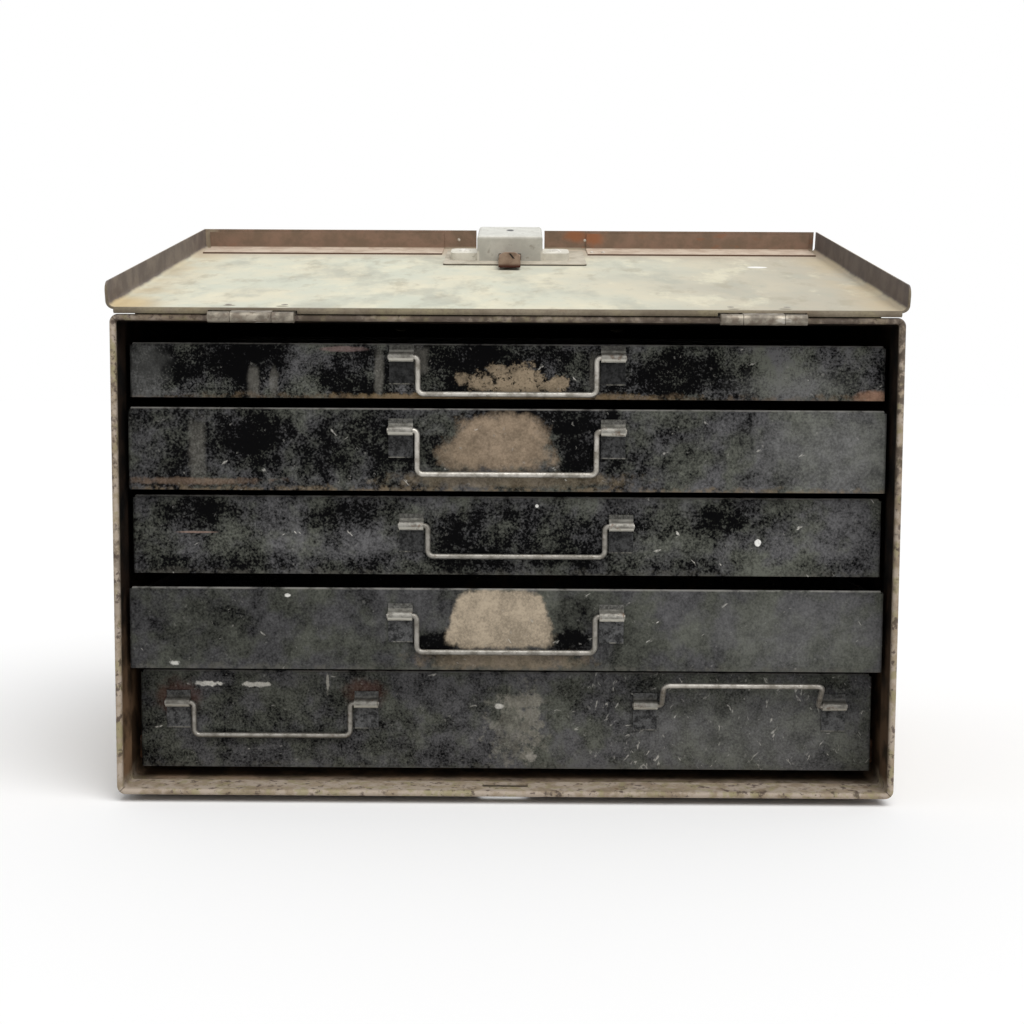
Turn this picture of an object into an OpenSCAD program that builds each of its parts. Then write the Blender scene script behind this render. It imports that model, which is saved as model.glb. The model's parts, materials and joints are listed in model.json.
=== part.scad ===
// Steel drawer tool box: a sheet cabinet with five drawers on side runners and a hinged front cover.
// The cover is shown swung up and back until it rests on the carrying handle, inner face up.
// Wire pulls turn in clips on the drawer fronts, and a key lock on the cover bolts into the floor.

/* [Cabinet] */
// Outside width of the cabinet
body_w = 457; // [420:1:500]
// Outside height of the cabinet without its skids
body_h = 281; // [278:1:310]
// Depth from front edge to back
body_d = 305; // [290:1:360]
// Thickness of the cabinet and cover sheet
sheet = 1; // [0.8:0.1:1.2]
// Outside radius of the four long corners
corner_r = 5; // [4.5:0.5:8]
// Thickness of the folded front edge
hem_t = 3.6; // [3:0.1:4]
// Depth of the folded front edge
hem_d = 22; // [18:1:26]
// Depth of the turned edge round the back panel
back_lip = 12; // [8:1:20]

/* [Skids] */
// Height of the skids under the floor
foot_h = 4.5; // [4.2:0.1:8]
// Width of each skid
skid_w = 26; // [15:1:40]
// Distance of each skid from the side of the cabinet
skid_in = 30; // [10:1:80]
// Distance of the skids behind the front edge
skid_back = 26; // [22:1:50]

/* [Carrying handle] */
// Length of the grip between its outer corners
grip_l = 120; // [100:1:150]
// Width of the handle strap
grip_w = 24; // [18:1:30]
// Thickness of the handle strap
grip_t = 2.5; // [2:0.1:3.5]
// Outside radius of the bends at the ends of the grip
grip_r = 12; // [8:1:16]
// Length of each riveted foot
grip_foot = 26; // [20:1:34]
// Distance of the middle of the handle behind the front edge
grip_y = 150; // [120:1:170]
// Gap between the handle and the cover that rests on it
rest_gap = 0.35; // [0.3:0.05:0.6]

/* [Runners] */
// Thickness of the runner angle
runner_t = 1.2; // [1:0.1:1.5]
// Height of the leg on the cabinet wall
runner_leg = 14; // [10:1:18]
// Overlap of the runner shelf under the drawer
runner_lap = 8; // [5:1:12]
// Distance of the runner ends behind the turned sides of a shut front
runner_back = 2; // [0:0.5:10]
// Gap between a drawer and its runners
slide_gap = 0.3; // [0.3:0.05:0.6]

/* [Drawers] */
// Share of front 1, the top one, in the height of all fronts
front_1_part = 32.3; // [31:0.1:34]
// Share of front 2 in the height of all fronts
front_2_part = 48.4; // [46:0.1:50]
// Share of front 3 in the height of all fronts
front_3_part = 46.8; // [44:0.1:49]
// Share of front 4 in the height of all fronts
front_4_part = 48.5; // [46:0.1:50]
// Share of front 5, the bottom one, in the height of all fronts
front_5_part = 59.8; // [56:0.1:62]
// Height from the top of front 1 to the top of the cabinet
top_room = 15.3; // [13:0.1:18]
// Gap between the fronts of drawers 1 and 2
gap_1 = 5.7; // [4:0.1:7]
// Gap between the fronts of drawers 2 and 3
gap_2 = 3.6; // [3.5:0.1:5]
// Gap between the fronts of drawers 3 and 4
gap_3 = 7; // [4:0.1:8]
// Gap between the fronts of drawers 4 and 5
gap_4 = 5.3; // [4:0.1:7]
// Height of the lowest front above the underside of the floor
gap_5 = 8.3; // [7:0.1:10]
// Gap between a front and the folded edge at each side
front_gap = 2.2; // [1.5:0.1:3]
// Thickness of the drawer sheet
tray_t = 1; // [0.8:0.1:1.2]
// Radius of the upright edges of a front
front_r = 2; // [1.6:0.1:3]
// Radius of the rolled top edge of a front
roll_r = 1.6; // [1.3:0.1:2]
// Depth of the turned sides of a front
front_lip = 14; // [8:1:20]
// Height of a drawer floor above the lower edge of its front
tray_lift = 2.6; // [2.5:0.1:3]
// Height that the drawer sides lie below the top of the front
side_drop = 4; // [3.5:0.5:8]
// Radius of the lower long edges of a drawer
tray_r = 3; // [2:0.1:4]
// Height of the folded top edge of a drawer side
tray_fold = 8; // [5:0.5:12]
// Distance of a shut front behind the front edge of the cabinet
shut_back = 35; // [32:0.5:40]
// Gap between a shut drawer and the back panel
tray_end_gap = 6; // [4:1:20]
// Distance of front 1 behind the front edge as it stands
rest_1 = 20.9; // [16:0.1:28]
// Distance of front 2 behind the front edge as it stands
rest_2 = 14.8; // [12:0.1:28]
// Distance of front 3 behind the front edge as it stands
rest_3 = 22.6; // [16:0.1:28]
// Distance of front 4 behind the front edge as it stands
rest_4 = 12; // [11.5:0.1:28]

/* [Pulls] */
// Diameter of the pull wire
wire_d = 3.2; // [2.6:0.1:3.6]
// Distance between the clip centres of an upper pull
pull_span = 124.5; // [100:0.5:140]
// Distance between the clip centres of a lower pull
low_pull_span = 114.5; // [90:0.5:130]
// Distance of the wire arms inside the clip centres
arm_in = 9.8; // [9.6:0.1:14]
// Width of a clip
clip_w = 14.4; // [10:0.1:14.4]
// Thickness of the clip sheet
clip_t = 0.8; // [0.6:0.1:0.9]
// Length of a clip above its pivot
clip_up = 7; // [4:0.5:7.5]
// Length of a clip below its pivot
clip_down = 16; // [6:0.5:20]
// Radius of the clip loop
clip_r = 2.7; // [2.5:0.1:2.9]
// Distance of the pull pivot in front of the drawer front
pivot_out = 3; // [2.8:0.1:3.2]
// Radial gap of a pull wire in its clip
wire_fit = 0.05; // [0.02:0.01:0.1]
// Length of the wire ends past the clips
wire_past = 0.6; // [0.5:0.1:2]
// Bend radius of the lower corners at the middle of the wire
wire_bend = 3.6; // [2.6:0.1:4.2]
// Gap between a clip and the bend of its pull
eye_gap = 0.2; // [0.1:0.05:0.3]
// Length of pull 1 below its pivot
pull_1_drop = 21.6; // [14:0.1:22.5]
// Length of pull 2 below its pivot
pull_2_drop = 25.5; // [14:0.1:30]
// Length of pull 3 below its pivot
pull_3_drop = 18.2; // [14:0.1:26]
// Length of pull 4 below its pivot
pull_4_drop = 21.4; // [14:0.1:30]
// Length of the two lower pulls below their pivots
low_pull_drop = 19.9; // [14:0.1:24]
// Distance of pivot 1 below the top of its front
pivot_1_down = 8; // [8:0.1:10]
// Distance of pivot 2 below the top of its front
pivot_2_down = 13; // [9:0.1:20]
// Distance of pivot 3 below the top of its front
pivot_3_down = 17.4; // [9:0.1:20]
// Distance of pivot 4 below the top of its front
pivot_4_down = 16; // [9:0.1:20]
// Distance of the lower pivots below the top of front 5
pivot_5_down = 19.5; // [19:0.1:24]
// Sideways place of pull 3
pull_3_x = 5.8; // [-10:0.1:10]
// Distance of the middle of each lower pull from the side of front 5
low_pull_in = 80.7; // [78:0.1:92]
// Angle from hanging at which the lower right pull was left
low_pull_lift = 138; // [100:1:145]

/* [Cover] */
// Angle between the resting cover and the cabinet top
cover_tilt = 12.7; // [12:0.1:16]
// Gap between the cabinet side and the cover flange
cover_side_gap = 0.5; // [0.4:0.1:2.5]
// Gap between the shut cover and the cabinet edges
cover_gap = 0.4; // [0.35:0.05:0.8]
// Gap between the shut cover's lower flange and the cabinet floor
cover_foot_gap = 0.5; // [0.4:0.05:0.8]
// Height of the cover flanges
flange_h = 15.4; // [12:0.1:17]
// Outside radius of the bend at the far edge of the cover
bend_r = 1.8; // [1.3:0.1:2.5]
// Outside radius of the bends at the sides of the cover
side_bend_r = 4.5; // [1.5:0.1:6]
// Radius of the near corners of the side flanges
tip_r = 6; // [1:0.1:7]
// Thickness of the folded edge along the hinges
cover_hem_t = 3.3; // [2.5:0.1:3.4]
// Depth of the folded edge along the hinges
cover_hem_d = 11; // [8:1:18]
// Distance of the folded edge from the hinge axis
cover_edge = 5; // [4:0.1:6]
// Width of the notch in the far flange for the lock
notch_w = 51; // [50:1:60]
// Width of the flat leg of each stiffener
stiff_w = 30; // [20:1:40]
// Distance of the left stiffener from the middle
stiff_left_x = 50; // [49:1:80]
// Distance of the right stiffener from the middle
stiff_right_x = 57; // [49:1:80]
// Distance of the stiffeners below the top of the far flange
stiff_low = 2; // [0:0.1:4]
// Width of the open corner beside the far flange
corner_slit = 1.6; // [0.8:0.1:2]

/* [Hinges] */
// Distance of the middle of each hinge from the side of the cabinet
hinge_in = 82.7; // [40:0.1:105]
// Length of a hinge
hinge_l = 49; // [44:0.5:60]
// Length of the middle knuckle
knuckle_mid = 23.4; // [18:0.2:28]
// Radius of the knuckles
knuckle_r = 3.1; // [2.9:0.1:3.3]
// Thickness of the hinge leaves
leaf_t = 1.2; // [1:0.1:1.3]
// Length of a leaf from its hinge axis
leaf_l = 27; // [22:1:36]
// Distance of the leaf edges behind the cabinet front at the other leaf's knuckles
leaf_back = 2; // [2:0.1:4]
// Distance of the leaf rivets from the cabinet front
leaf_rivet_y = 14; // [9:0.5:16]
// Gap between a hinge and the folded edge of the cover
hinge_clear = 1; // [0.5:0.1:2]
// Radius of the hinge pin
pin_r = 1.5; // [1.2:0.1:1.7]
// Radial gap of the hinge pin in the cover knuckle
pin_fit = 0.05; // [0.02:0.01:0.1]
// Gap between neighbouring knuckles
knuckle_gap = 0.3; // [0.3:0.05:0.5]

/* [Lock] */
// Width of the lock plate
lock_plate_w = 100; // [90:1:102]
// Sideways place of the lock plate
lock_plate_x = 3.6; // [0:0.1:4]
// Length of the lock plate towards the hinges past the case
lock_plate_in = 16; // [8:1:24]
// Radius of the lock plate corners
plate_r = 3; // [1:0.5:6]
// Thickness of the lock plate
lock_plate_t = 1.2; // [1:0.1:1.4]
// Width of the lock case
lock_w = 46; // [42:1:49]
// Height of the lock case above its plate
lock_h = 17.7; // [16.5:0.1:19]
// Wall of the lock case
lock_t = 1.5; // [1:0.1:2]
// Radius of the lock case edges
lock_r = 2.5; // [2:0.1:4]
// Gap between the lock case and the front of drawer 4 when the cover shuts
lock_gap = 3.5; // [2.5:0.1:6]
// Height of the lock case above the floor when the cover is shut
lock_floor = 8.4; // [7:0.1:12]
// Reach of each riveted ear from the middle
ear_x = 42; // [39:0.5:44]
// Length of the riveted ears
ear_l = 26; // [20:1:30]
// Distance of the ears behind the near face of the case
ear_back = 3; // [1:0.5:8]
// Radius of the ear corners
ear_r = 5; // [3:0.5:8]
// Thickness of the ears
ear_t = 5; // [2:0.1:6]
// Width of the bolt
bolt_w = 18; // [14:1:22]
// Thickness of the bolt
bolt_t = 4; // [3:0.1:4.2]
// Length of the step in the bolt
web_l = 6; // [4:0.5:7]
// Distance of the step behind the case wall
web_back = 1.5; // [1:0.1:2]
// Travel of the bolt
bolt_travel = 9; // [8:0.1:10]
// Length of the bolt tail outside the case
tail_out = 40; // [30:1:42]
// Height of the bolt tail above the lock plate
tail_up = 0.8; // [0.5:0.1:1.2]
// Difference between the widths of the bolt and its tail
tail_less = 3; // [1:0.5:4]
// Radius of the corners of the bolt tail
tail_r = 2; // [1:0.1:4]
// Height of the thumb tab that is turned up from the end of the bolt tail
tab_h = 10; // [8:0.1:10.5]
// Thickness of the thumb tab
tab_t = 3; // [2:0.1:4]
// Radius of the upper corners of the thumb tab
tab_r = 5; // [2:0.1:6]
// Length of the bolt outside the case when it is drawn back
bolt_out = 3; // [2:0.1:4]
// Room at each end of the bolt in the floor slot
slot_room_x = 4.5; // [2:0.1:8]
// Room in front of and behind the bolt in the floor slot
slot_room_y = 1.2; // [0.8:0.1:2]
// Gap between the bolt and the case openings
bolt_gap = 0.4; // [0.3:0.05:0.6]
// Distance of the key plug from the far end of the case
plug_in = 24; // [20:0.5:26]
// Radius of the key plug
plug_r = 7; // [6:0.1:7.5]
// Radial gap round the key plug
plug_fit = 0.06; // [0.03:0.01:0.1]
// Radius of the cam on the key plug
cam_r = 9; // [8:0.1:10]
// Thickness of the cam
cam_t = 2.4; // [1.5:0.1:3]
// Wall of the key ring in the cover
ring_wall = 1; // [0.8:0.1:1.5]
// Radius of the key ring on the outer face
ring_r = 11; // [9:0.5:14]
// Thickness of the key ring
ring_t = 1.6; // [1:0.1:2]
// Width of the key slot
key_w = 1.6; // [1:0.1:2]
// Length of the key slot
key_l = 8; // [6:0.1:9]

/* [Rivets] */
// Radius of the rivet shanks
rivet_r = 2; // [1.5:0.1:2.5]
// Radius of the rivet heads
head_r = 4.8; // [3.5:0.1:5]
// Height of the rivet heads
head_h = 1.6; // [1.2:0.1:2]

/* [Hidden] */
$fn = 64;
over = 1;
nose_r = hem_t / 2;
axis_fwd = knuckle_r + 2 * sheet + cover_gap;
axis_z = body_h + leaf_t - knuckle_r;
front_y = (axis_fwd + knuckle_r - body_d) / 2;
wall_x = body_w / 2 - sheet;
hinge_x = body_w / 2 - hinge_in;

front_w = body_w - 2 * hem_t - 2 * front_gap;
tray_w = front_w - 2 * tray_t;
tray_l = body_d - sheet - tray_end_gap - shut_back;
front_parts = [front_1_part, front_2_part, front_3_part, front_4_part, front_5_part];
gaps = [gap_1, gap_2, gap_3, gap_4, gap_5];
fronts_h = body_h - top_room - total(gaps);
drawer_h = [for (part = front_parts) part * fronts_h / total(front_parts)];
drawer_z = [for (i = [0 : 4]) base_of(i)];
rest_back = [rest_1, rest_2, rest_3, rest_4, shut_back];
pivot_down = [pivot_1_down, pivot_2_down, pivot_3_down, pivot_4_down, pivot_5_down];
pull_drop = [pull_1_drop, pull_2_drop, pull_3_drop, pull_4_drop, low_pull_drop];
low_pull_x = front_w / 2 - low_pull_in;
wire_r = wire_d / 2;
clip_bore = wire_r + wire_fit;
wire_end = clip_w / 2 + wire_past;
eye_bend = arm_in - clip_w / 2 - eye_gap;

cover_w = body_w + 2 * cover_side_gap + 2 * sheet;
cover_l = axis_z + cover_foot_gap + 2 * sheet;
panel_in = knuckle_r + sheet;
hem_low = panel_in - cover_hem_t;
hem_r = cover_hem_t / 2;
knuckle_end = knuckle_mid / 2 + knuckle_gap;
leaf_cut = axis_fwd + leaf_back;
leaf_rivet_u = axis_fwd + leaf_rivet_y;

plate_top = panel_in + lock_plate_t;
lock_top = plate_top + lock_h;
lock_far = axis_z - hem_t - lock_floor;
lock_near = axis_z - drawer_z[3] + lock_gap;
ear_u = lock_near + ear_back + ear_l / 2;
ear_rivet_x = (lock_w / 2 + ear_x) / 2;
head_n = lock_top - lock_t - bolt_gap - bolt_t;
tail_n = plate_top + tail_up;
tail_w = bolt_w - tail_less;
web_u = lock_near + lock_t + web_back;
bolt_end = lock_far + bolt_out;
plug_u = lock_far - plug_in;
slot_w = bolt_w + 2 * slot_room_x;
slot_y = head_n - axis_fwd - slot_room_y;
slot_l = bolt_t + 2 * slot_room_y;

grip_front = grip_y - grip_w / 2;
grip_u = (grip_front + axis_fwd + knuckle_r * sin(cover_tilt)) / cos(cover_tilt);
grip_h = axis_z + grip_u * sin(cover_tilt) + knuckle_r * cos(cover_tilt) - body_h - rest_gap;
sides = [-1, 1];

enamel = [0.13, 0.13, 0.14];
cream = [0.83, 0.81, 0.72];
steel = [0.62, 0.62, 0.6];
zinc = [0.74, 0.75, 0.74];
rust = [0.45, 0.3, 0.22];
dark = [0.2, 0.19, 0.18];

// Sum of a list from one of its places to its end.
function total(list, from = 0) = from < len(list) ? list[from] + total(list, from + 1) : 0;

// Height of the lower edge of a front above the underside of the floor.
function base_of(i) = gaps[i] + (i < len(gaps) - 1 ? drawer_h[i + 1] + base_of(i + 1) : 0);

// Front lower middle of the cabinet, with y running back and z up.
module at_front() {
    translate([0, front_y, foot_h]) children();
}

// Hinge axis, with y running along the cover and z out of its inner face.
module on_cover() {
    at_front() translate([0, -axis_fwd, axis_z]) rotate([cover_tilt, 0, 0]) children();
}

// Lower middle of the front of a drawer as it stands.
module on_drawer(i) {
    at_front() translate([0, rest_back[i - 1], drawer_z[i - 1]]) children();
}

// Pivot of a pull on the front of a drawer.
module on_pivot(i, x) {
    on_drawer(i) translate([x, -pivot_out, drawer_h[i - 1] - pivot_down[i - 1]]) children();
}

// Rectangle centred on the origin with round corners.
module round_rect(w, h, r) {
    square([w - 2 * r, h], center = true);
    square([w, h - 2 * r], center = true);
    for (x = sides, y = sides) translate([x * (w / 2 - r), y * (h / 2 - r)]) circle(r);
}

// Block from y0 to y1 with the cabinet outline drawn in by an inset.
module tunnel(inset, y0, y1) {
    translate([0, y1, body_h / 2]) rotate([90, 0, 0])
        linear_extrude(y1 - y0) round_rect(body_w - 2 * inset, body_h - 2 * inset, corner_r - inset);
}

// Round bar along x, centred on the origin.
module bar_x(r, l) {
    rotate([0, 90, 0]) cylinder(r = r, h = l, center = true);
}

// Round front edge of the cabinet, in four straights and four corners.
module front_nose() {
    reach_x = body_w / 2 - corner_r;
    reach_z = body_h / 2 - corner_r;
    translate([0, nose_r, body_h / 2]) {
        for (z = sides) translate([0, 0, z * (body_h / 2 - nose_r)]) bar_x(nose_r, 2 * reach_x);
        for (x = sides) translate([x * (body_w / 2 - nose_r), 0, 0])
            cylinder(r = nose_r, h = 2 * reach_z, center = true);
        for (x = sides, z = sides) translate([x * reach_x, 0, z * reach_z]) rotate([90, 0, 0])
            rotate([0, 0, x > 0 ? (z > 0 ? 0 : 270) : (z > 0 ? 90 : 180)])
                rotate_extrude(angle = 90) translate([corner_r - nose_r, 0]) circle(nose_r);
    }
}

module cabinet_shell() {
    color(cream) at_front() difference() {
        union() {
            difference() {
                tunnel(0, nose_r, body_d);
                tunnel(sheet, nose_r, body_d + over);
            }
            difference() {
                tunnel(hem_t - sheet, nose_r, hem_d);
                tunnel(hem_t, 0, hem_d + over);
            }
            front_nose();
        }
        translate([-slot_w / 2, slot_y, -over]) cube([slot_w, slot_l, hem_t + 2 * over]);
        handle_holes();
        leaf_holes();
    }
}

module back_panel() {
    color(dark) at_front() difference() {
        tunnel(sheet, body_d - back_lip, body_d);
        tunnel(2 * sheet, body_d - back_lip - over, body_d - sheet);
    }
}

module skids() {
    color(dark) at_front() for (x = sides)
        translate([x * (body_w / 2 - skid_in - skid_w / 2), body_d / 2, -foot_h])
            linear_extrude(foot_h) round_rect(skid_w, body_d - 2 * skid_back, skid_w / 2);
}

// Places of the handle rivets on the cabinet top.
module at_handle_rivets() {
    for (x = sides) translate([x * (grip_l + grip_foot) / 2, grip_y, body_h]) children();
}

module handle_holes() {
    at_handle_rivets() translate([0, 0, -sheet - over]) cylinder(r = rivet_r, h = sheet + grip_t + 2 * over);
}

// Outline of the handle bow without its feet, drawn in by an inset.
module bow(inset) {
    r = grip_r - inset;
    w = grip_l / 2 - inset;
    h = grip_h - inset;
    translate([-w, 0]) square([2 * w, h - r]);
    translate([-w + r, 0]) square([2 * (w - r), h]);
    for (x = sides) translate([x * (w - r), h - r]) circle(r);
}

module carrying_handle() {
    foot_x = grip_l / 2 + grip_foot;
    color(dark) at_front() difference() {
        translate([0, grip_y + grip_w / 2, body_h]) rotate([90, 0, 0]) linear_extrude(grip_w) difference() {
            union() {
                bow(0);
                translate([-foot_x, 0]) square([2 * foot_x, grip_t]);
            }
            translate([0, -over]) bow(grip_t);
            translate([-grip_l / 2 + grip_t, -over]) square([grip_l - 2 * grip_t, grip_t + 2 * over]);
        }
        handle_holes();
    }
}

// Rivet with a round head at each end, for a stack from z0 to z1.
module rivet(z0, z1, low_head, high_head) {
    translate([0, 0, z0]) cylinder(r = rivet_r, h = z1 - z0);
    if (high_head) translate([0, 0, z1]) rivet_head();
    if (low_head) translate([0, 0, z0]) mirror([0, 0, 1]) rivet_head();
}

// Low round head that sits on z = 0.
module rivet_head() {
    ball = (head_r * head_r + head_h * head_h) / (2 * head_h);
    rotate_extrude() intersection() {
        translate([0, head_h - ball]) circle(ball);
        square([head_r, head_h]);
    }
}

module handle_rivets() {
    color(steel) at_front() at_handle_rivets() rivet(-sheet, grip_t, true, true);
}

module runners(i) {
    shelf_top = drawer_z[i - 1] + tray_lift - slide_gap;
    shelf_in = tray_w / 2 - runner_lap;
    y0 = shut_back + front_lip + runner_back;
    run = body_d - back_lip - over - y0;
    color(rust) at_front() for (x = sides) mirror([x < 0 ? 1 : 0, 0, 0]) {
        translate([shelf_in, y0, shelf_top - runner_t]) cube([wall_x - shelf_in, run, runner_t]);
        translate([wall_x - runner_t, y0, shelf_top - runner_t]) cube([runner_t, run, runner_leg]);
    }
}

// Outline of a front seen from above, with round front corners.
module front_plan() {
    w = front_w / 2;
    translate([-w, front_r]) square([2 * w, front_lip - front_r]);
    translate([-w + front_r, 0]) square([2 * (w - front_r), front_r]);
    for (x = sides) translate([x * (w - front_r), front_r]) circle(front_r);
}

module drawer_front(i) {
    h = drawer_h[i - 1];
    color(enamel) on_drawer(i) {
        linear_extrude(h - roll_r) difference() {
            front_plan();
            translate([-front_w / 2 + tray_t, tray_t]) square([front_w - 2 * tray_t, front_lip]);
        }
        translate([0, roll_r, h - roll_r]) bar_x(roll_r, front_w - 2 * front_r);
    }
}

// Cross-section of a drawer with round lower corners, drawn in by an inset.
module tray_section(h, inset) {
    r = tray_r - inset;
    w = tray_w / 2 - inset;
    translate([-w, tray_r]) square([2 * w, h - tray_r]);
    translate([-w + r, inset]) square([2 * (w - r), tray_r]);
    for (x = sides) translate([x * (w - r), tray_r]) circle(r);
}

module drawer_tray(i) {
    h = drawer_h[i - 1] - side_drop - tray_lift;
    fold_in = 2 * tray_t;
    color(enamel) on_drawer(i) translate([0, 0, tray_lift]) difference() {
        translate([0, tray_l, 0]) rotate([90, 0, 0]) linear_extrude(tray_l - tray_t) tray_section(h, 0);
        translate([0, tray_l - tray_t, 0]) rotate([90, 0, 0])
            linear_extrude(tray_l) tray_section(h - tray_fold, tray_t);
        translate([-tray_w / 2 + fold_in, -over, h - tray_fold - over])
            cube([tray_w - 2 * fold_in, tray_l - fold_in + over, tray_fold + 2 * over]);
    }
}

// Clip at the origin of a pivot: a flat tail on the front and a loop round the wire.
module clip() {
    difference() {
        union() {
            translate([-clip_w / 2, pivot_out - clip_t, -clip_down])
                cube([clip_w, clip_t, clip_up + clip_down]);
            translate([-clip_w / 2, 0, -clip_r]) cube([clip_w, pivot_out, 2 * clip_r]);
            bar_x(clip_r, clip_w);
        }
        bar_x(clip_bore, clip_w + 2 * over);
    }
}

module drawer_clips(i, span, places) {
    color(steel) for (x = places, s = sides) on_pivot(i, x + s * span / 2) clip();
}

// Wire pull hanging from its pivot at the origin, with its ends turned out.
module pull(span, drop) {
    arm_x = span / 2 - arm_in;
    end_x = span / 2 + wire_end;
    inner_x = arm_x + eye_bend;
    for (s = sides) mirror([s < 0 ? 1 : 0, 0, 0]) {
        translate([inner_x, 0, 0]) rotate([0, 90, 0]) cylinder(r = wire_r, h = end_x - inner_x);
        translate([inner_x, 0, -eye_bend]) rotate([90, 0, 0]) rotate([0, 0, 90])
            rotate_extrude(angle = 90) translate([eye_bend, 0]) circle(wire_r);
        translate([arm_x, 0, wire_bend - drop]) cylinder(r = wire_r, h = drop - wire_bend - eye_bend);
        translate([arm_x - wire_bend, 0, wire_bend - drop]) rotate([90, 0, 0]) rotate([0, 0, 270])
            rotate_extrude(angle = 90) translate([wire_bend, 0]) circle(wire_r);
    }
    translate([0, 0, -drop]) bar_x(wire_r, 2 * (arm_x - wire_bend));
}

module pull_on(i, x, span, lift) {
    color(steel) on_pivot(i, x) rotate([-lift, 0, 0]) pull(span, pull_drop[i - 1]);
}

// Places of the hinge leaf rivets, from the hinge middle.
module at_leaf_rivets() {
    for (x = sides, s = sides) translate([x * hinge_x + s * hinge_l / 3, 0, 0]) children();
}

module leaf_holes() {
    at_leaf_rivets() translate([0, leaf_rivet_y, body_h - sheet - over])
        cylinder(r = rivet_r, h = sheet + leaf_t + 2 * over);
}

// Two end knuckles, or the middle one, round the hinge axis.
module knuckles(middle) {
    end_l = hinge_l / 2 - knuckle_end;
    if (middle) bar_x(knuckle_r, knuckle_mid);
    else for (s = sides) translate([s * (knuckle_end + end_l / 2), 0, 0]) bar_x(knuckle_r, end_l);
}

module cabinet_leaf(x) {
    color(steel) at_front() difference() {
        union() {
            translate([x - hinge_l / 2, leaf_cut - axis_fwd, body_h])
                cube([hinge_l, leaf_l - leaf_cut, leaf_t]);
            for (s = sides) translate([x + (s > 0 ? knuckle_end : -hinge_l / 2), -axis_fwd, body_h])
                cube([hinge_l / 2 - knuckle_end, leaf_cut + over, leaf_t]);
            translate([x, -axis_fwd, axis_z]) knuckles(false);
        }
        translate([x, -axis_fwd, axis_z]) bar_x(pin_r, hinge_l + over);
        leaf_holes();
    }
}

module hinge_pin(x) {
    color(steel) at_front() translate([x, -axis_fwd, axis_z]) bar_x(pin_r, hinge_l);
}

module cabinet_leaf_rivets() {
    color(steel) at_front() at_leaf_rivets() translate([0, leaf_rivet_y, body_h])
        rivet(-sheet, leaf_t, false, false);
}

// Block with the cover outline, drawn in by an inset, with round lower edges and a round near tip.
module cover_block(inset, top, tip) {
    r = bend_r - inset;
    side_r = side_bend_r - inset;
    low = knuckle_r + inset;
    w = cover_w / 2 - inset;
    far = cover_l - inset;
    near = cover_edge + hem_r - inset;
    intersection() {
        translate([0, far, 0]) rotate([90, 0, 0]) linear_extrude(far - near) {
            translate([-w, low + side_r]) square([2 * w, top - low - side_r]);
            translate([-w + side_r, low]) square([2 * (w - side_r), side_r]);
            for (x = sides) translate([x * (w - side_r), low + side_r]) circle(side_r);
        }
        rotate([90, 0, 90]) translate([0, 0, -cover_w]) linear_extrude(2 * cover_w) {
            translate([near, low]) square([far - r - near, top - tip - low]);
            translate([near + tip, low + r]) square([far - near - tip, top - low - r]);
            translate([far - r, low + r]) circle(r);
            if (tip > 0) translate([near + tip, top - tip]) circle(tip);
        }
    }
}

// Folded edge of the cover along the hinges, with its round nose.
module cover_hem() {
    translate([-cover_w / 2 + side_bend_r, cover_edge + hem_r, hem_low])
        cube([cover_w - 2 * side_bend_r, cover_hem_d - hem_r, cover_hem_t]);
    translate([0, cover_edge + hem_r, hem_low + hem_r]) bar_x(hem_r, cover_w - 2 * side_bend_r);
}

// Room for a hinge in the folded edge of the cover.
module hinge_room(x) {
    translate([x - hinge_l / 2 - hinge_clear, -over, hem_low - over])
        cube([hinge_l + 2 * hinge_clear, cover_edge + cover_hem_d + 2 * over, knuckle_r - hem_low + over]);
}

module cover_pan() {
    flange_top = knuckle_r + flange_h;
    color(cream) on_cover() difference() {
        union() {
            difference() {
                cover_block(0, flange_top, tip_r);
                cover_block(sheet, flange_top + over, 0);
            }
            cover_hem();
        }
        for (x = sides) hinge_room(x * hinge_x);
        translate([-notch_w / 2, cover_l - bend_r - over, panel_in])
            cube([notch_w, bend_r + 2 * over, flange_h]);
        translate([cover_w / 2 - sheet - corner_slit, cover_l - sheet, panel_in])
            cube([corner_slit, 2 * over, flange_h]);
        cover_leaf_holes();
        lock_holes();
        translate([0, plug_u, 0]) cylinder(r = plug_r + ring_wall, h = panel_in);
    }
}

module stiffener(x0, x1) {
    far = cover_l - sheet;
    r = bend_r - sheet;
    color(rust) on_cover() translate([x0, 0, 0]) rotate([90, 0, 90]) linear_extrude(x1 - x0) {
        translate([far - stiff_w, panel_in]) square([stiff_w - r, sheet]);
        translate([far - sheet, panel_in + r]) square([sheet, flange_h - sheet - stiff_low - r]);
        translate([far - r, panel_in + r]) circle(r);
    }
}

module stiffener_left() {
    stiffener(-cover_w / 2 + side_bend_r, -stiff_left_x);
}

module stiffener_right() {
    stiffener(stiff_right_x, cover_w / 2 - side_bend_r - corner_slit);
}

module cover_leaf_holes() {
    at_leaf_rivets() translate([0, leaf_rivet_u, knuckle_r - leaf_t - over])
        cylinder(r = rivet_r, h = leaf_t + sheet + 2 * over);
}

module cover_leaf(x) {
    color(steel) on_cover() difference() {
        union() {
            translate([x - hinge_l / 2, leaf_cut, knuckle_r - leaf_t])
                cube([hinge_l, leaf_l - leaf_cut, leaf_t]);
            translate([x - knuckle_mid / 2, 0, knuckle_r - leaf_t])
                cube([knuckle_mid, leaf_cut + over, leaf_t]);
            translate([x, 0, 0]) knuckles(true);
        }
        translate([x, 0, 0]) bar_x(pin_r + pin_fit, hinge_l);
        cover_leaf_holes();
    }
}

module cover_leaf_rivets() {
    color(steel) on_cover() at_leaf_rivets() translate([0, leaf_rivet_u, knuckle_r])
        rivet(-leaf_t, sheet, false, false);
}

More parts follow.
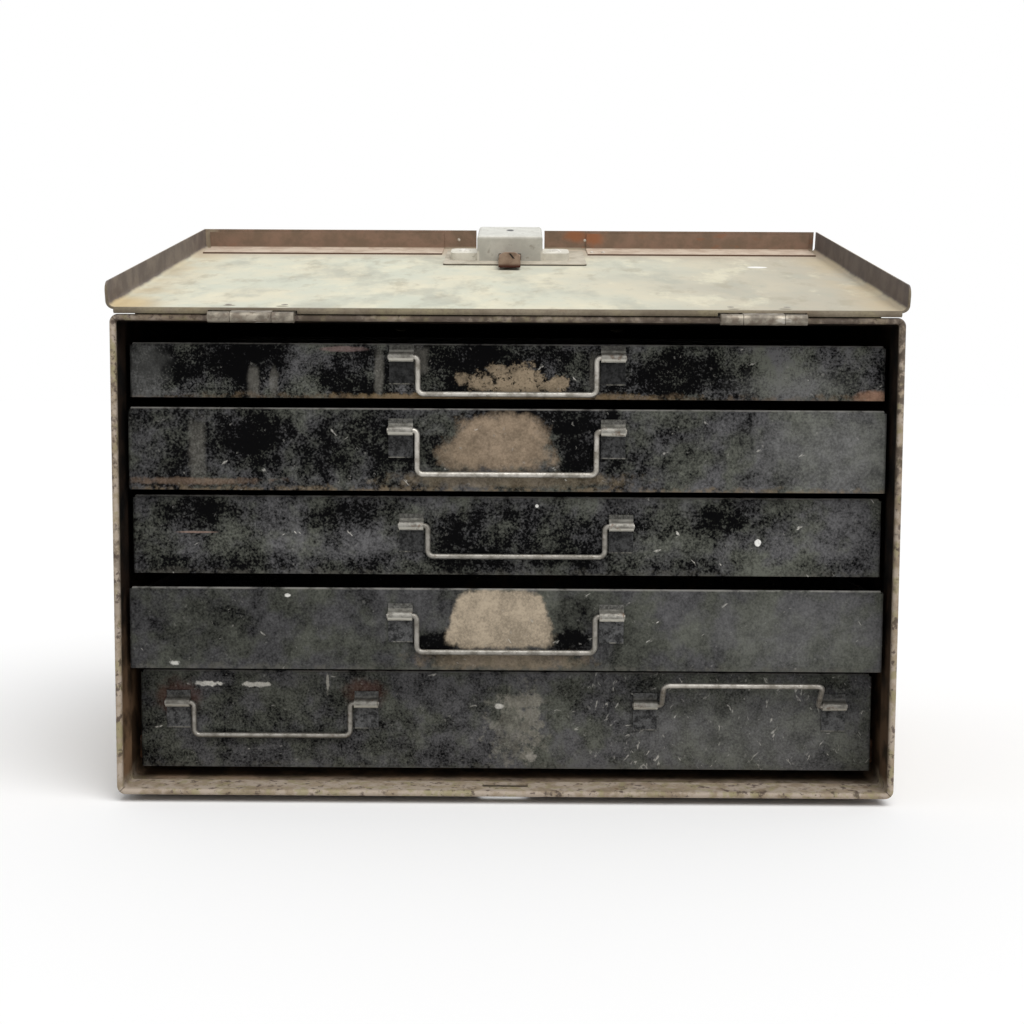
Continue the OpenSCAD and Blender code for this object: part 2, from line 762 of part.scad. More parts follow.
// Places of the lock rivets on the cover.
module at_lock_rivets() {
    for (x = sides) translate([x * ear_rivet_x, ear_u, 0]) children();
}

module lock_holes() {
    at_lock_rivets() cylinder(r = rivet_r, h = lock_top);
}

module lock_plate() {
    near = lock_near - lock_plate_in;
    color(zinc) on_cover() difference() {
        translate([lock_plate_x, (near + lock_far) / 2, panel_in])
            linear_extrude(lock_plate_t) round_rect(lock_plate_w, lock_far - near, plate_r);
        lock_holes();
        translate([0, plug_u, 0]) cylinder(r = plug_r + plug_fit, h = lock_top);
    }
}

// Lock case outline with round upper edges, drawn in by an inset.
module case_block(inset) {
    r = lock_r - inset;
    w = lock_w / 2 - inset;
    top = lock_top - inset;
    near = lock_near + inset;
    far = lock_far - inset;
    intersection() {
        translate([0, far, 0]) rotate([90, 0, 0]) linear_extrude(far - near) {
            translate([-w, plate_top]) square([2 * w, top - plate_top - r]);
            translate([-w + r, plate_top]) square([2 * (w - r), top - plate_top]);
            for (x = sides) translate([x * (w - r), top - r]) circle(r);
        }
        rotate([90, 0, 90]) translate([0, 0, -lock_w]) linear_extrude(2 * lock_w) {
            translate([near, plate_top]) square([far - near, top - plate_top - r]);
            translate([near + r, plate_top]) square([far - near - 2 * r, top - plate_top]);
            for (u = [near + r, far - r]) translate([u, top - r]) circle(r);
        }
    }
}

module lock_case() {
    color(zinc) on_cover() difference() {
        union() {
            case_block(0);
            translate([0, ear_u, plate_top]) linear_extrude(ear_t) round_rect(2 * ear_x, ear_l, ear_r);
        }
        translate([0, 0, -over]) case_block(lock_t);
        case_block(lock_t);
        translate([-tail_w / 2 - bolt_gap, lock_near - over, tail_n - bolt_gap])
            cube([tail_w + 2 * bolt_gap, lock_t + 2 * over, bolt_t + 2 * bolt_gap]);
        translate([-bolt_w / 2 - bolt_gap, lock_far - lock_t - over, head_n - bolt_gap])
            cube([bolt_w + 2 * bolt_gap, lock_t + 2 * over, bolt_t + 2 * bolt_gap]);
        lock_holes();
    }
}

module lock_rivets() {
    color(steel) on_cover() at_lock_rivets() rivet(knuckle_r, plate_top + ear_t, true, true);
}

module lock_ring() {
    color(zinc) on_cover() translate([0, plug_u, 0]) difference() {
        union() {
            translate([0, 0, knuckle_r - ring_t]) cylinder(r = ring_r, h = ring_t);
            translate([0, 0, knuckle_r]) cylinder(r = plug_r + ring_wall, h = sheet);
        }
        translate([0, 0, knuckle_r - ring_t - over])
            cylinder(r = plug_r + plug_fit, h = ring_t + sheet + 2 * over);
    }
}

module lock_plug() {
    cam_top = head_n - bolt_gap;
    color(steel) on_cover() translate([0, plug_u, 0]) difference() {
        union() {
            translate([0, 0, knuckle_r - ring_t]) cylinder(r = plug_r, h = cam_top - knuckle_r + ring_t);
            translate([0, 0, cam_top - cam_t]) cylinder(r = cam_r, h = cam_t);
        }
        translate([-key_w / 2, -key_l / 2, knuckle_r - ring_t - over]) cube([key_w, key_l, key_l + over]);
    }
}

// Outline of the thumb tab on its lower edge, with round upper corners.
module thumb_tab() {
    translate([-tail_w / 2, 0]) square([tail_w, tab_h - tab_r]);
    translate([-tail_w / 2 + tab_r, 0]) square([tail_w - 2 * tab_r, tab_h]);
    for (x = sides) translate([x * (tail_w / 2 - tab_r), tab_h - tab_r]) circle(tab_r);
}

module lock_bolt() {
    tail_near = lock_near - tail_out;
    color(rust) on_cover() {
        translate([-bolt_w / 2, web_u, head_n]) cube([bolt_w, bolt_end - web_u, bolt_t]);
        translate([-tail_w / 2, web_u, tail_n]) cube([tail_w, web_l, head_n - tail_n + bolt_t / 2]);
        translate([0, (tail_near + web_u + web_l) / 2, tail_n])
            linear_extrude(bolt_t) round_rect(tail_w, web_u + web_l - tail_near, tail_r);
        translate([0, tail_near + tab_t, tail_n]) rotate([90, 0, 0]) linear_extrude(tab_t) thumb_tab();
    }
}

cabinet_shell();
back_panel();
skids();
carrying_handle();
handle_rivets();
runners(1);  // runners_1
runners(2);  // runners_2
runners(3);  // runners_3
runners(4);  // runners_4
runners(5);  // runners_5
drawer_tray(1);  // drawer_1_tray
drawer_front(1);  // drawer_1_front
drawer_clips(1, pull_span, [0]);  // drawer_1_clips
pull_on(1, 0, pull_span, 0);  // pull_1
drawer_tray(2);  // drawer_2_tray
drawer_front(2);  // drawer_2_front
drawer_clips(2, pull_span, [0]);  // drawer_2_clips
pull_on(2, 0, pull_span, 0);  // pull_2
drawer_tray(3);  // drawer_3_tray
drawer_front(3);  // drawer_3_front
drawer_clips(3, pull_span, [pull_3_x]);  // drawer_3_clips
pull_on(3, pull_3_x, pull_span, 0);  // pull_3
drawer_tray(4);  // drawer_4_tray
drawer_front(4);  // drawer_4_front
drawer_clips(4, pull_span, [0]);  // drawer_4_clips
pull_on(4, 0, pull_span, 0);  // pull_4
drawer_tray(5);  // drawer_5_tray
drawer_front(5);  // drawer_5_front
drawer_clips(5, low_pull_span, [-low_pull_x, low_pull_x]);  // drawer_5_clips
pull_on(5, -low_pull_x, low_pull_span, 0);  // pull_5_left
pull_on(5, low_pull_x, low_pull_span, low_pull_lift);  // pull_5_right
cabinet_leaf(-hinge_x);  // cabinet_leaf_left
cabinet_leaf(hinge_x);  // cabinet_leaf_right
hinge_pin(-hinge_x);  // hinge_pin_left
hinge_pin(hinge_x);  // hinge_pin_right
cabinet_leaf_rivets();
cover_pan();
stiffener_left();
stiffener_right();
cover_leaf(-hinge_x);  // cover_leaf_left
cover_leaf(hinge_x);  // cover_leaf_right
cover_leaf_rivets();
lock_plate();
lock_case();
lock_rivets();
lock_ring();
lock_plug();
lock_bolt();
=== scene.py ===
# Looks of the steel drawer tool box: worn paint, enamel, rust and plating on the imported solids.
import json
import math
from collections import namedtuple

import bmesh
import bpy
from mathutils import Matrix, Vector


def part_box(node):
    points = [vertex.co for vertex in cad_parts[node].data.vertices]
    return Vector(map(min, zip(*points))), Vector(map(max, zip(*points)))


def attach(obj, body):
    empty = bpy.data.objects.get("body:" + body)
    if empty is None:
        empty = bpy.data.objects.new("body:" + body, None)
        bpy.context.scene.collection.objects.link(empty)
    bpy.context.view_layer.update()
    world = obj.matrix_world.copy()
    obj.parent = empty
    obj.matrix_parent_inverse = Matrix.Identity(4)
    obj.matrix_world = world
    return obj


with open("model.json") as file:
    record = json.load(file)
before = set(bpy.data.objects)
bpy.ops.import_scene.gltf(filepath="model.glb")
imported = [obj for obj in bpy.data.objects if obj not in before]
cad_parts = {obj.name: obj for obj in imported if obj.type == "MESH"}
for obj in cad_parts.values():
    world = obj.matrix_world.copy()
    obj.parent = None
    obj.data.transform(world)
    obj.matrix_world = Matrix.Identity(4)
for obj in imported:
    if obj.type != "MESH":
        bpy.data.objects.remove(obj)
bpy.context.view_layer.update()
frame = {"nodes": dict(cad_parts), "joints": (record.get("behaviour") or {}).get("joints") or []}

scene = bpy.context.scene
scene.view_settings.view_transform = "Standard"

# Camera: 0.8 m in front of the box, level with the foot of its first drawer, looking slightly down.
# Its place and lens come from fitting the corners of the cabinet, fronts and cover.
look_down, look_left, roll = 0.0802, 0.0037, 0.0056
camera_place = (0.00636, -0.980, 0.2397)
photo_lens = 50.72
camera_data = bpy.data.cameras.new("photo_camera")
camera_data.sensor_width = 36.0
camera_data.lens = photo_lens
camera = bpy.data.objects.new("photo_camera", camera_data)
scene.collection.objects.link(camera)
forward = Vector((-math.sin(look_left) * math.cos(look_down), math.cos(look_left) * math.cos(look_down),
                  -math.sin(look_down)))
level = Vector((math.cos(look_left), math.sin(look_left), 0.0))
upright = level.cross(forward)
right = level * math.cos(roll) + upright * math.sin(roll)
top = upright * math.cos(roll) - level * math.sin(roll)
camera.matrix_world = (Matrix.Translation(camera_place)
                       @ Matrix((right, top, -forward)).transposed().to_4x4())
scene.camera = camera

# Studio: a pale matt floor that runs out into a white surround, so that only the box and its shadow show.
# One broad soft light above the front right stands in for a large window.
floor_reach = 40.0
floor_white = (0.92, 0.92, 0.92, 1.0)
white_for_light, white_for_camera = 0.55, 1.0
light_strength, light_spread = 2.15, math.radians(50.0)
light_from = Vector((0.3, -0.55, 1.0))


class Nodes:
    """Short names for building a node tree."""

    def __init__(self, tree):
        self.tree = tree

    def add(self, kind, **settings):
        node = self.tree.nodes.new(kind)
        for name, value in settings.items():
            setattr(node, name, value)
        return node

    def feed(self, socket, value):
        if isinstance(value, bpy.types.NodeSocket):
            self.tree.links.new(value, socket)
        elif socket.type == "RGBA":
            socket.default_value = (*value, 1.0)
        else:
            socket.default_value = value

    def calc(self, operation, first, second=0.0):
        node = self.add("ShaderNodeMath", operation=operation)
        self.feed(node.inputs[0], first)
        self.feed(node.inputs[1], second)
        return node.outputs[0]

    def times(self, first, second):
        return self.calc("MULTIPLY", first, second)

    def plus(self, first, second):
        return self.calc("ADD", first, second)

    def minus(self, first, second):
        return self.calc("SUBTRACT", first, second)

    def most(self, first, second):
        return self.calc("MAXIMUM", first, second)

    def least(self, first, second):
        return self.calc("MINIMUM", first, second)

    def vector(self, operation, first, second=(0.0, 0.0, 0.0)):
        node = self.add("ShaderNodeVectorMath", operation=operation)
        self.feed(node.inputs[0], first)
        self.feed(node.inputs[1], second)
        return node.outputs[0]

    def mix(self, mask, low, high):
        node = self.add("ShaderNodeMix", data_type="RGBA")
        self.feed(node.inputs[0], mask)
        self.feed(node.inputs[6], low)
        self.feed(node.inputs[7], high)
        return node.outputs[2]

    def span(self, value, start, end, low=0.0, high=1.0, smooth=True):
        node = self.add("ShaderNodeMapRange", clamp=True)
        node.interpolation_type = "SMOOTHSTEP" if smooth else "LINEAR"
        for socket, number in zip(node.inputs, (value, start, end, low, high)):
            self.feed(socket, number)
        return node.outputs[0]

    def axes(self, at):
        node = self.add("ShaderNodeSeparateXYZ")
        self.feed(node.inputs[0], at)
        return node.outputs

    def noise(self, at, size, detail=5.0, roughness=0.6):
        node = self.add("ShaderNodeTexNoise")
        self.feed(node.inputs["Vector"], at)
        self.feed(node.inputs["Scale"], size if isinstance(size, bpy.types.NodeSocket) else 1.0 / size)
        node.inputs["Detail"].default_value = detail
        node.inputs["Roughness"].default_value = roughness
        return node.outputs[0]

    def effect(self, group, **values):
        node = self.add("ShaderNodeGroup", node_tree=group)
        for name, value in values.items():
            self.feed(node.inputs[name], value)
        return node.outputs[0]


floor_mesh = bpy.data.meshes.new("floor")
sheet = bmesh.new()
bmesh.ops.create_grid(sheet, x_segments=1, y_segments=1, size=floor_reach)
sheet.to_mesh(floor_mesh)
sheet.free()
floor = bpy.data.objects.new("floor", floor_mesh)
scene.collection.objects.link(floor)
floor_paint = bpy.data.materials.new("floor_white")
floor_paint.use_nodes = True
floor_shader = floor_paint.node_tree.nodes["Principled BSDF"]
floor_shader.inputs["Base Color"].default_value = floor_white
floor_shader.inputs["Roughness"].default_value = 0.9
floor_shader.inputs["Specular IOR Level"].default_value = 0.0
floor_mesh.materials.append(floor_paint)

world = bpy.data.worlds.new("studio")
scene.world = world
world.use_nodes = True
air = Nodes(world.node_tree)
air.tree.nodes.clear()
path = air.add("ShaderNodeLightPath")
seen = air.most(path.outputs["Is Camera Ray"], path.outputs["Is Transmission Ray"])
seen = air.most(seen, path.outputs["Is Glossy Ray"])
surround = air.add("ShaderNodeBackground")
air.feed(surround.inputs["Color"], (1.0, 1.0, 1.0))
brightness = air.span(seen, 0.0, 1.0, white_for_light, white_for_camera, smooth=False)
air.feed(surround.inputs["Strength"], brightness)
air.tree.links.new(surround.outputs[0], air.add("ShaderNodeOutputWorld").inputs["Surface"])

soft_light = bpy.data.lights.new("soft_light", "SUN")
soft_light.energy = light_strength
soft_light.angle = light_spread
light_stand = bpy.data.objects.new("soft_light", soft_light)
light_stand.rotation_euler = (-light_from).to_track_quat("-Z", "Y").to_euler()
scene.collection.objects.link(light_stand)

# Cabinet shell: one folded steel sheet for top, sides and floor, with a front edge folded in and mitred.
# Beige stove paint outside, rubbed and spotted with rust on that edge.
# The inside was left dark and has rusted, most of all low down; higher up its near black is partly painted
# shade.
beige, faded_beige = (0.33, 0.265, 0.19), (0.24, 0.185, 0.13)
edge_rust = (0.12, 0.075, 0.05)
shell_low, shell_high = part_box("cabinet_shell")
shell_middle = (shell_low + shell_high) / 2
half_width = shell_high.x
half_height = (shell_high.z - shell_low.z) / 2
corner_radius = 0.0050
half_sheet = 0.0005


class Finish(Nodes):
    """A material with one Principled shader, read in the row frame."""

    def __init__(self, name, specular=0.3, metallic=0.0):
        self.material = bpy.data.materials.new(name)
        self.material.use_nodes = True
        super().__init__(self.material.node_tree)
        self.tree.nodes.clear()
        self.shader = self.add("ShaderNodeBsdfPrincipled")
        self.tree.links.new(self.shader.outputs[0], self.add("ShaderNodeOutputMaterial").inputs["Surface"])
        self.shader.inputs["Specular IOR Level"].default_value = specular
        self.shader.inputs["Metallic"].default_value = metallic
        self.at = self.add("ShaderNodeTexCoord").outputs["Object"]

    def turned(self, angle, centre):
        """Place in a frame that stands at a point and is turned about x."""
        node = self.add("ShaderNodeMapping", vector_type="POINT")
        turn = Matrix.Rotation(-angle, 3, "X")
        node.inputs["Location"].default_value = -(turn @ Vector(centre))
        node.inputs["Rotation"].default_value = (-angle, 0.0, 0.0)
        self.feed(node.inputs["Vector"], self.at)
        return node.outputs[0]

    def done(self, colour, roughness, height=None, depth=0.0002, metallic=None):
        self.feed(self.shader.inputs["Base Color"], colour)
        self.feed(self.shader.inputs["Roughness"], roughness)
        if metallic is not None:
            self.feed(self.shader.inputs["Metallic"], metallic)
        if height is not None:
            bump = self.add("ShaderNodeBump")
            bump.inputs["Strength"].default_value = 0.6
            bump.inputs["Distance"].default_value = depth
            self.feed(bump.inputs["Height"], height)
            self.feed(self.shader.inputs["Normal"], bump.outputs[0])
        return self

    def onto(self, *names):
        for name in names:
            mesh = frame["nodes"][name].data
            mesh.materials.clear()
            mesh.materials.append(self.material)


def effect_group(name, inputs, output="Mask"):
    """Empty shader node group with its sockets, as (nodes, input sockets, output socket)."""
    tree = bpy.data.node_groups.new(name, "ShaderNodeTree")
    for socket, kind in inputs.items():
        tree.interface.new_socket(socket, in_out="INPUT", socket_type="NodeSocket" + kind)
    tree.interface.new_socket(output, in_out="OUTPUT", socket_type="NodeSocketFloat")
    nodes = Nodes(tree)
    entry = nodes.add("NodeGroupInput")
    leave = nodes.add("NodeGroupOutput")
    return nodes, entry.outputs, leave.inputs[0]


# Soft clouds of grime or fading: a noise cut between two levels.
nodes, given, result = effect_group(
    "grime_clouds", {"Vector": "Vector", "Size": "Float", "Low": "Float", "High": "Float"})
cloud = nodes.noise(given["Vector"], nodes.calc("DIVIDE", 1.0, given["Size"]), 6.0, 0.62)
nodes.feed(result, nodes.span(cloud, given["Low"], given["High"]))
grime_clouds = nodes.tree

# Loose flecks: dust, chips or short scratches, one in some of the cells of a stretched net.
nodes, given, result = effect_group(
    "flecks", {"Vector": "Vector", "Stretch": "Vector", "Turn": "Float", "Share": "Float",
               "Reach": "Float"})
turn = nodes.add("ShaderNodeVectorRotate", rotation_type="Y_AXIS")
nodes.feed(turn.inputs["Vector"], given["Vector"])
nodes.feed(turn.inputs["Angle"], given["Turn"])
net = nodes.vector("DIVIDE", turn.outputs[0], given["Stretch"])
wobble = nodes.add("ShaderNodeTexNoise")
nodes.feed(wobble.inputs["Vector"], net)
wobble.inputs["Scale"].default_value = 3.0
wobble.inputs["Detail"].default_value = 0.0
shift = nodes.vector("SUBTRACT", wobble.outputs["Color"], (0.5, 0.5, 0.5))
shift = nodes.vector("MULTIPLY", shift, (0.7, 0.7, 0.7))
cells = nodes.add("ShaderNodeTexVoronoi")
nodes.feed(cells.inputs["Vector"], nodes.vector("ADD", net, shift))
cells.inputs["Scale"].default_value = 1.0
draw = nodes.axes(cells.outputs["Color"])
near = nodes.span(cells.outputs["Distance"], given["Reach"], nodes.times(given["Reach"], 0.4))
chosen = nodes.calc("LESS_THAN", draw[0], given["Share"])
strong = nodes.span(draw[1], 0.0, 1.0, 0.35, 1.0, smooth=False)
nodes.feed(result, nodes.times(nodes.times(near, chosen), strong))
flecks = nodes.tree


def stove_paint(finish, at, base, shade):
    """Paint, faded in clouds, stained, scratched and chipped down to rust; gives (colour, height)."""
    clouds = finish.effect(grime_clouds, Vector=at, Size=0.06, Low=0.36, High=0.64)
    colour = finish.mix(clouds, base, shade)
    elsewhere = finish.vector("ADD", at, (0.4, 0.1, 0.2))
    olive = finish.effect(grime_clouds, Vector=elsewhere, Size=0.03, Low=0.5, High=0.68)
    colour = finish.mix(finish.times(olive, 0.45), colour, (0.27, 0.235, 0.135))
    speckle = finish.noise(at, 0.0022, 4.0, 0.7)
    colour = finish.mix(finish.span(speckle, 0.42, 0.7, 0.0, 0.4), colour, [0.62 * part for part in shade])
    stains = finish.effect(grime_clouds, Vector=at, Size=0.02, Low=0.58, High=0.72)
    colour = finish.mix(finish.times(stains, 0.6), colour, (0.17, 0.115, 0.072))
    scrapes = finish.effect(flecks, Vector=at, Stretch=(0.03, 0.03, 0.003), Turn=0.5, Share=0.06, Reach=0.2)
    colour = finish.mix(finish.times(scrapes, 0.7), colour, (0.47, 0.41, 0.33))
    rust = finish.effect(flecks, Vector=at, Stretch=(0.02, 0.02, 0.02), Turn=0.6, Share=0.12, Reach=0.16)
    colour = finish.mix(finish.times(rust, 0.85), colour, (0.13, 0.062, 0.036))
    height = finish.minus(finish.times(speckle, 0.5), finish.most(rust, scrapes))
    return colour, height


shell = Finish("cabinet_paint", specular=0.15)
x, y, z = shell.axes(shell.at)
side = shell.calc("ABSOLUTE", x)
rise = shell.calc("ABSOLUTE", shell.minus(z, shell_middle.z))
colour, height = stove_paint(shell, shell.at, beige, faded_beige)
on_edge = shell.span(y, shell_low.y + 0.004, shell_low.y + 0.0025)
off_floor = shell.span(z, shell_low.z + 0.005, shell_low.z + 0.012)
floor_strip = shell.times(shell.span(y, shell_low.y + 0.05, shell_low.y + 0.035),
                          shell.minus(1.0, off_floor))
rim = shell.most(on_edge, floor_strip)
grey_rub = ((0.0, 0.0, 0.0), 0.01, 0.4, 0.58, 0.8, (0.4, 0.335, 0.275))
olive_stain = ((0.3, 0.2, 0.6), 0.008, 0.52, 0.62, 0.65, (0.26, 0.23, 0.12))
dark_rust = ((0.1, 0.5, 0.3), 0.005, 0.55, 0.64, 0.8, (0.06, 0.04, 0.034))
for shift, size, start, end, strength, tint in (grey_rub, olive_stain, dark_rust):
    blotch = shell.noise(shell.vector("ADD", shell.at, shift), size, 4.0, 0.65)
    blotch = shell.times(rim, shell.span(blotch, start, end, 0.0, strength))
    colour = shell.mix(blotch, colour, tint)
upper_edge = shell.span(z, shell_low.z + 0.06, shell_low.z + 0.2)
on_top = shell.span(z, shell_high.z - 0.006, shell_high.z - 0.004)
dulled = shell.plus(shell.times(shell.noise(shell.at, 0.034, 3.0, 0.6), 0.6),
                    shell.times(shell.noise(shell.at, 0.0045, 3.0, 0.7), 0.4))
dulled = shell.most(shell.times(upper_edge, shell.span(dulled, 0.46, 0.55, 0.0, 0.85)),
                    shell.times(on_top, shell.span(dulled, 0.42, 0.56, 0.35, 0.9)))
dulled = shell.times(on_edge, dulled)
colour = shell.mix(dulled, colour, (0.07, 0.052, 0.04))
past_side = shell.most(shell.minus(side, half_width - corner_radius), 0.0)
past_rise = shell.most(shell.minus(rise, half_height - corner_radius), 0.0)
from_bend = shell.calc("SQRT", shell.plus(shell.times(past_side, past_side),
                                          shell.times(past_rise, past_rise)))
inside = shell.calc("LESS_THAN", from_bend, corner_radius - half_sheet)
ragged = shell.times(shell.minus(shell.noise(shell.at, 0.012, 5.0, 0.7), 0.5), 0.02)
to_edge = shell.least(shell.minus(shell_high.y, y), shell.minus(z, shell_low.z))
to_edge = shell.least(to_edge, shell.plus(shell.minus(half_width, side),
                                          shell.minus(half_height, rise)))
worn = shell.span(shell.plus(to_edge, ragged), 0.0045, 0.001)
worn = shell.times(worn, shell.span(y, shell_low.y + 0.003, shell_low.y + 0.01))
worn = shell.times(worn, shell.minus(1.0, inside))
colour = shell.mix(shell.times(worn, 0.75), colour, edge_rust)
inside = shell.times(inside, shell.span(y, shell_low.y + 0.0012, shell_low.y + 0.0045))
rust_clouds = shell.effect(grime_clouds, Vector=shell.at, Size=0.02, Low=0.38, High=0.6)
# Painted shade: the upper inside walls are dark paint, darkened further to stand for the shade deep in the
# cabinet.
dark_wall_and_shade = shell.mix(rust_clouds, (0.002, 0.0015, 0.0012), (0.014, 0.008, 0.005))
rusty = shell.mix(rust_clouds, (0.045, 0.027, 0.015), (0.19, 0.115, 0.065))
low_down = shell.times(shell.span(z, shell_low.z + 0.13, shell_low.z + 0.008),
                       shell.span(x, -0.1, 0.1, 1.0, 0.45))
rusty = shell.mix(low_down, dark_wall_and_shade, rusty)
on_floor = shell.span(y, shell_low.y + 0.02, shell_low.y + 0.045, 0.0, 0.85)
colour = shell.mix(shell.times(inside, shell.most(off_floor, on_floor)), colour, rusty)
seam_run = shell.minus(shell.minus(half_width, side), shell.minus(half_height, rise))
seam = shell.times(shell.span(shell.calc("ABSOLUTE", seam_run), 0.0006, 0.0001), on_edge)
colour = shell.mix(shell.times(seam, 0.8), colour, (0.05, 0.035, 0.025))
shell.done(colour, shell.span(height, -1.0, 1.0, 0.75, 0.5), height).onto("cabinet_shell")

# Shade strip: a strip of near-black felt glued across the cabinet top behind the hinges, put there as
# painted shade.
# It shows only as the dark line of shade under the near edge of the open cover.
strip_low = Vector((shell_low.x + 0.008, shell_low.y + 0.0265, shell_high.z))
strip_high = Vector((shell_high.x - 0.008, shell_low.y + 0.0305, shell_high.z + 0.0042))


def new_piece(name, shape, finish, body):
    """Puts a bmesh into the scene as a piece that rides on a body."""
    bmesh.ops.recalc_face_normals(shape, faces=shape.faces)
    mesh = bpy.data.meshes.new(name)
    shape.to_mesh(mesh)
    shape.free()
    mesh.materials.append(finish.material)
    piece = bpy.data.objects.new(name, mesh)
    scene.collection.objects.link(piece)
    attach(piece, body)


felt = Finish("shade_felt", specular=0.0)
fibres = felt.noise(felt.at, 0.0011, 4.0, 0.7)
# Painted shade: the felt is near black so that the gap under the cover's near edge reads as shadow.
shade_black = felt.mix(fibres, (0.004, 0.0035, 0.003), (0.03, 0.026, 0.022))
felt.done(shade_black, felt.span(fibres, 0.0, 1.0, 0.9, 1.0), fibres)
strip = bmesh.new()
strip_place = Matrix.LocRotScale((strip_low + strip_high) / 2, None, strip_high - strip_low)
bmesh.ops.create_cube(strip, size=1.0, matrix=strip_place)
bmesh.ops.bevel(strip, geom=strip.edges[:], offset=0.0006, offset_type="OFFSET", affect="EDGES", segments=2,
                profile=0.5, material=-1)
new_piece("shade_strip", strip, felt, "cabinet")

# Back panel: a shallow tray of sheet steel set into the back of the shell and welded there.
# Its outer face is in the same beige paint as the sides, its inner face in the dark paint of the skids.
dark_low, dark_high = (0.022, 0.021, 0.02), (0.06, 0.055, 0.05)
panel = Finish("back_paint", specular=0.15)
back_low, back_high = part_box("back_panel")
colour, height = stove_paint(panel, panel.at, beige, faded_beige)
_, y, z = panel.axes(panel.at)
ragged = panel.times(panel.minus(panel.noise(panel.at, 0.012, 5.0, 0.7), 0.5), 0.02)
foot = panel.span(panel.plus(z, ragged), back_low.z + 0.008, back_low.z + 0.002)
colour = panel.mix(panel.times(foot, 0.75), colour, edge_rust)
dusty = panel.effect(grime_clouds, Vector=panel.at, Size=0.03, Low=0.4, High=0.65)
within = panel.calc("LESS_THAN", y, back_high.y - 0.0006)
colour = panel.mix(within, colour, panel.mix(dusty, dark_low, dark_high))
panel.done(colour, panel.span(height, -1.0, 1.0, 0.75, 0.5), height).onto("back_panel")

# Skids and carrying handle: flat round-ended strips under the floor, and a bent strap riveted to the top.
# Both are in plain dark paint, chipped and rusty in places.
dark = Finish("dark_paint", specular=0.25)
clouds = dark.effect(grime_clouds, Vector=dark.at, Size=0.025, Low=0.4, High=0.65)
chips = dark.effect(flecks, Vector=dark.at, Stretch=(0.012, 0.012, 0.012), Turn=0.0, Share=0.12, Reach=0.16)
rust = dark.effect(grime_clouds, Vector=dark.at, Size=0.012, Low=0.58, High=0.7)
colour = dark.mix(clouds, dark_low, dark_high)
colour = dark.mix(rust, colour, (0.13, 0.06, 0.033))
colour = dark.mix(chips, colour, (0.3, 0.28, 0.26))
dark.done(colour, dark.span(clouds, 0.0, 1.0, 0.45, 0.65), dark.minus(clouds, chips))
dark.onto("skids", "carrying_handle")

# Runners: five pairs of steel angles, welded to the side walls, on which the drawers slide.
# They were never painted, are brown with rust, and are rubbed bright along the slide.
runner = Finish("runner_steel", specular=0.25)
clouds = runner.effect(grime_clouds, Vector=runner.at, Size=0.016, Low=0.4, High=0.62)
rubbed = runner.effect(flecks, Vector=runner.at, Stretch=(0.004, 0.09, 0.004), Turn=0.0, Share=0.3,
                       Reach=0.4)
colour = runner.mix(clouds, (0.06, 0.035, 0.024), (0.17, 0.085, 0.045))
colour = runner.mix(rubbed, colour, (0.33, 0.3, 0.27))
runner.done(colour, runner.span(rubbed, 0.0, 1.0, 0.75, 0.4), clouds)
runner.onto(*["runners_%d" % number for number in range(1, 6)])

# Drawer trays: folded sheet boxes with a hemmed top edge, welded behind the fronts.
# Black enamel, gone grey with dust and stained brown where tools lay.
tray = Finish("tray_enamel", specular=0.2)
clouds = tray.effect(grime_clouds, Vector=tray.at, Size=0.03, Low=0.4, High=0.62)
stain = tray.effect(grime_clouds, Vector=tray.at, Size=0.06, Low=0.5, High=0.66)
specks = tray.effect(flecks, Vector=tray.at, Stretch=(0.003, 0.003, 0.003), Turn=0.0, Share=0.12, Reach=0.3)
colour = tray.mix(clouds, (0.02, 0.02, 0.02), (0.065, 0.063, 0.058))
colour = tray.mix(tray.times(stain, 0.7), colour, (0.12, 0.07, 0.042))
colour = tray.mix(specks, colour, (0.22, 0.2, 0.18))
tray.done(colour, tray.span(clouds, 0.0, 1.0, 0.5, 0.72), clouds)
tray.onto(*["drawer_%d_tray" % number for number in range(1, 6)])

# Drawer fronts: pressed sheet with turned sides and a rolled top edge, each welded to its tray.
# Black enamel under a film of grey dust, scratched and chipped; the film greys to the right partly as
# painted light.
# Where old paper was scraped off or hands rubbed, the enamel is gone down to tan primer.
bare_primer = (0.25, 0.195, 0.132)
gone_black = (0.0012, 0.0012, 0.0014)
pale_smear = (0.16, 0.152, 0.132)
dried_drips = (0.24, 0.226, 0.188)
thick_dust = (0.15, 0.15, 0.142)
scratched_steel = (0.55, 0.53, 0.48)
dust_lost = 0.8
most_dust = 1.6
right_through = 1.0

# One worn patch with a ragged edge: round to square in outline, narrowing upwards if tapered.
nodes, given, result = effect_group(
    "worn_patch", {"Vector": "Vector", "Centre": "Vector", "Reach": "Vector", "Taper": "Float",
                   "Square": "Float", "Ragged": "Float", "Grain": "Float", "Soft": "Float"})
offset = nodes.vector("DIVIDE", nodes.vector("SUBTRACT", given["Vector"], given["Centre"]), given["Reach"])
away = nodes.axes(offset)
slant = nodes.minus(1.0, nodes.times(given["Taper"], away[2]))
parts = [nodes.calc("POWER", nodes.calc("ABSOLUTE", side), given["Square"])
         for side in (nodes.calc("DIVIDE", away[0], slant), away[1], away[2])]
distance = nodes.plus(nodes.plus(parts[0], parts[1]), parts[2])
distance = nodes.calc("POWER", distance, nodes.calc("DIVIDE", 1.0, given["Square"]))
edge = nodes.noise(given["Vector"], nodes.calc("DIVIDE", 1.0, given["Grain"]), 6.0, 0.65)
edge = nodes.times(nodes.minus(edge, 0.5), given["Ragged"])
distance = nodes.plus(distance, edge)
soft = given["Soft"]
nodes.feed(result, nodes.span(distance, nodes.plus(1.0, soft), nodes.minus(1.0, soft)))
worn_patch = nodes.tree


